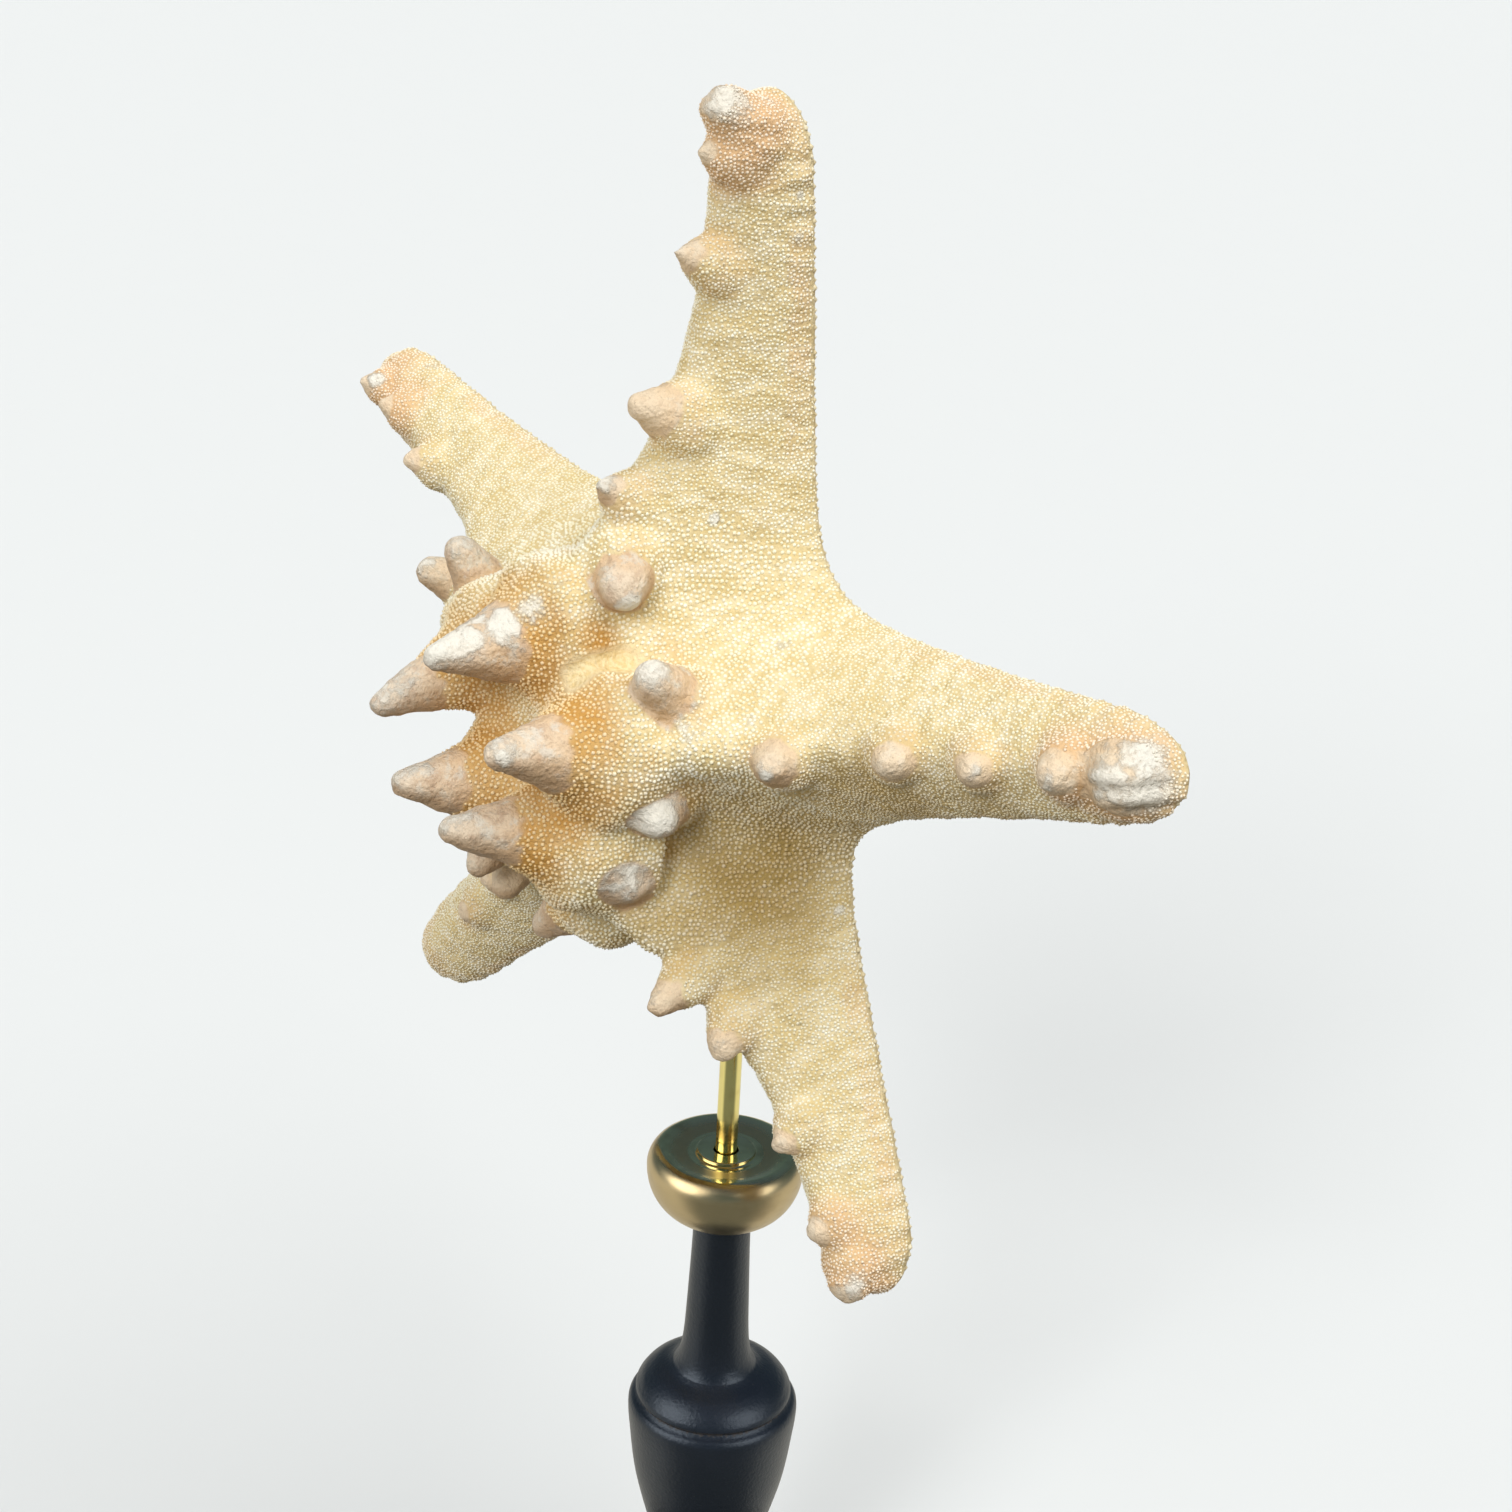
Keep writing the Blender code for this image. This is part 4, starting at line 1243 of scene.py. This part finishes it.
class SEASTAR_OT_stand(bpy.types.Operator):
    """Makes the black turned stand"""

    bl_idname = "seastar.stand"
    bl_label = "Stand"

    def execute(self, context):
        settings = context.scene.sea_stand
        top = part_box("stand")[1][2] / MM
        profile = [(0, SOCKET_FLOOR), (BORE, SOCKET_FLOOR), (BORE, top)]
        profile += [(5.5, top), (5.9, top - 0.4)]
        neck = [(5.95, 131.0), (6.1, 124.0), (6.5, 112.0), (6.9, 103.0), (7.6, 98.0), (8.6, 95.6)]
        shoulder = [(8.9, 95.2), (10.2, 94.4), (12.9, 93.2), (15.0, 91.6), (16.3, 89.8)]
        groove = [(16.55, 89.2), (16.6, 88.7), (16.25, 88.35), (16.15, 87.9), (16.4, 87.5)]
        bulb = [(16.8, 87.2), (17.7, 86.4), (18.1, 84.6), (17.7, 79.5), (16.1, 67.5), (12.9, 54.8)]
        waist = [(11.3, 49.4), (9.8, 45.0), (8.5, 39.5), (8.1, 36.4), (8.3, 35.2)]
        bead = [(8.9, 34.6), (10.3, 33.6), (11.2, 31.6), (10.4, 29.6), (9.5, 28.6)]
        foot = [(9.4, 28.2), (10.0, 26.0), (12.5, 22.0), (19.0, 16.5), (30.0, 12.4), (43.0, 10.0)]
        rim = [(44.5, 9.5), (46.4, 7.8), (47.0, 5.0), (46.4, 1.6), (45.6, 0.4)]
        profile += [*eased(neck), *eased(shoulder), *groove]
        for curve in (bulb, waist, bead, foot, rim):
            profile += eased(curve)
        profile += [(45.0, 0.0), (0, 0)]
        made = turned_piece("black_stand", profile, stand_finish(settings), settings.steps)
        height = read(made.data)[:, 2] / MM
        wear = np.exp(-(((height - GROOVE) / 0.8) ** 2))
        wear = wear + 0.5 * np.exp(-(((height - NECK_FOOT) / 0.7) ** 2))
        store(made.data, "wear", wear)
        finish_piece(made, "stand")
        return {"FINISHED"}


def soft_sun(name, source, strength, angle):
    """A soft light without falloff that comes from a direction."""
    lamp = bpy.data.lights.new(name, "SUN")
    lamp.energy = strength
    lamp.angle = math.radians(angle)
    made = in_scene(name, lamp)
    made.rotation_euler = Vector(source).to_track_quat("Z", "Y").to_euler()
    made.visible_glossy = False


def studio_world():
    """Soft light all round, two bright windows in reflections, and a pale backdrop."""
    world = bpy.data.worlds.new("studio")
    world.use_nodes = True
    graph = Graph(world.node_tree)
    way = graph.node("ShaderNodeTexCoord").outputs["Generated"]
    height = graph.node("ShaderNodeSeparateXYZ", {}, {0: way}).outputs["Z"]
    tones = ((0.0, "8e9a9c"), (0.1, "667b88"), (0.35, "52686e"), (1.0, "4a5c72"))
    stops = [(where, colour(tint)) for where, tint in tones]
    room = graph.node("ShaderNodeValToRGB", {"stops": stops}, {0: height}).outputs[0]
    windows = (((-0.17, -0.85, 0.5), 0.86, 3.6), ((0.84, 0.2, 0.5), 0.88, 3.0))
    for direction, near, strength in windows:
        window = graph.facing(way, direction).step(near, near + 0.08)
        room = graph.mix(window, room, (strength, strength * 0.98, strength * 0.93, 1.0))
    low = 1 - Amount(graph, height).step(0.2, 0.45)
    dark_side = graph.facing(way, DARK_SIDE).step(0.2, 0.7) * low
    soft = graph.mix(dark_side, (0.43, 0.43, 0.43, 1.0), (0.13, 0.13, 0.13, 1.0))
    shown = [
        graph.node("ShaderNodeBackground", {}, {"Color": tint}).outputs[0]
        for tint in (soft, room, colour("f0f3f2"))
    ]
    path = graph.node("ShaderNodeLightPath").outputs
    light = shown[0]
    for ray, other in (("Is Glossy Ray", shown[1]), ("Is Camera Ray", shown[2])):
        light = graph.node("ShaderNodeMixShader", {}, {0: path[ray], 1: light, 2: other}).outputs[0]
    graph.feed(graph.tree.nodes["World Output"].inputs[0], light)
    return world


def floor_finish(settings):
    """A pale floor that throws back light only from afar and from the window's side."""
    finish = Finish("plain_floor")
    pale = tuple(settings.floor_colour)
    seen = finish.mix(finish.noise(30), (*[p * 0.995 for p in pale], 1.0), (*pale, 1.0))
    place = {0: finish.place}
    away = finish.amount("ShaderNodeVectorMath", {"operation": "LENGTH"}, place, 1)
    toward = finish.node("ShaderNodeVectorMath", {"operation": "NORMALIZE"}, place).outputs[0]
    sides = 1 - finish.facing(toward, DARK_SIDE).step(0.2, 0.7) * 0.85
    far = away.step(0.3, 0.75) * sides
    thrown = finish.mix(far, (0.13, 0.11, 0.08, 1.0), (0.7, 0.64, 0.54, 1.0))
    mirrored = finish.mix(sides, (0.1, 0.12, 0.12, 1.0), (0.7, 0.68, 0.6, 1.0))
    path = finish.node("ShaderNodeLightPath").outputs
    thrown = finish.mix(path["Is Glossy Ray"], thrown, mirrored)
    finish.set("Base Color", finish.mix(path["Is Camera Ray"], thrown, seen))
    finish.set("Roughness", 0.9)
    finish.set("Specular IOR Level", 0.1)
    return finish.material


class SEASTAR_OT_stage(bpy.types.Operator):
    """Sets the plain floor, the soft lights and the camera"""

    bl_idname = "seastar.stage"
    bl_label = "Stage"

    def execute(self, context):
        settings = context.scene.sea_stage
        mesh = bmesh.new()
        bmesh.ops.create_circle(mesh, cap_ends=True, segments=96, radius=FLOOR_RADIUS)
        floor = piece_from_mesh("floor", mesh_data("floor", mesh), floor_finish(settings))
        floor.location.z = -FLOOR_DROP

        soft_sun("key", (0.51, 0.15, 0.84), settings.key_strength, 50)
        soft_sun("front", (0.38, -0.76, 0.53), settings.front_strength, 24)
        context.scene.world = studio_world()

        camera_data = bpy.data.cameras.new("camera")
        camera_data.lens = CAMERA_LENS
        camera_data.sensor_width = SENSOR
        camera_data.clip_start = 0.01
        camera = in_scene("camera", camera_data)
        forward, right = Vector(CAMERA_FORWARD).normalized(), Vector(CAMERA_RIGHT)
        right = (right - forward * right.dot(forward)).normalized()
        turn = Matrix((right, right.cross(forward), -forward)).transposed().to_4x4()
        camera.matrix_world = Matrix.Translation(CAMERA_PLACE) @ turn
        context.scene.camera = camera
        context.scene.view_settings.view_transform = "Standard"
        return {"FINISHED"}


class SEASTAR_PT_panel(bpy.types.Panel):
    """Lists the settings and the steps in the sidebar"""

    bl_label = "Sea Star"
    bl_idname = "SEASTAR_PT_panel"
    bl_space_type = "VIEW_3D"
    bl_region_type = "UI"
    bl_category = "Sea Star"

    def draw(self, context):
        scene = context.scene
        for group in (scene.sea_star, scene.sea_stand, scene.sea_stage):
            box = self.layout.box()
            for name in group.__annotations__:
                box.prop(group, name)
        for operator in OPERATORS:
            self.layout.operator(operator.bl_idname)


OPERATORS = (
    SEASTAR_OT_body,
    SEASTAR_OT_grains,
    SEASTAR_OT_spines,
    SEASTAR_OT_rod,
    SEASTAR_OT_collar,
    SEASTAR_OT_stand,
    SEASTAR_OT_stage,
)
GROUPS = {"sea_star": StarSettings, "sea_stand": StandSettings, "sea_stage": StageSettings}


def register():
    for name, group in GROUPS.items():
        bpy.utils.register_class(group)
        setattr(bpy.types.Scene, name, bpy.props.PointerProperty(type=group))
    for made in (*OPERATORS, SEASTAR_PT_panel):
        bpy.utils.register_class(made)


def unregister():
    for made in (SEASTAR_PT_panel, *reversed(OPERATORS)):
        bpy.utils.unregister_class(made)
    for name, group in GROUPS.items():
        delattr(bpy.types.Scene, name)
        bpy.utils.unregister_class(group)


def main():
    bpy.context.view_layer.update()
    register()
    bpy.ops.seastar.body()
    bpy.ops.seastar.grains()
    bpy.ops.seastar.spines()
    bpy.ops.seastar.rod()
    bpy.ops.seastar.collar()
    bpy.ops.seastar.stand()
    bpy.ops.seastar.stage()


if __name__ == "__main__":
    main()
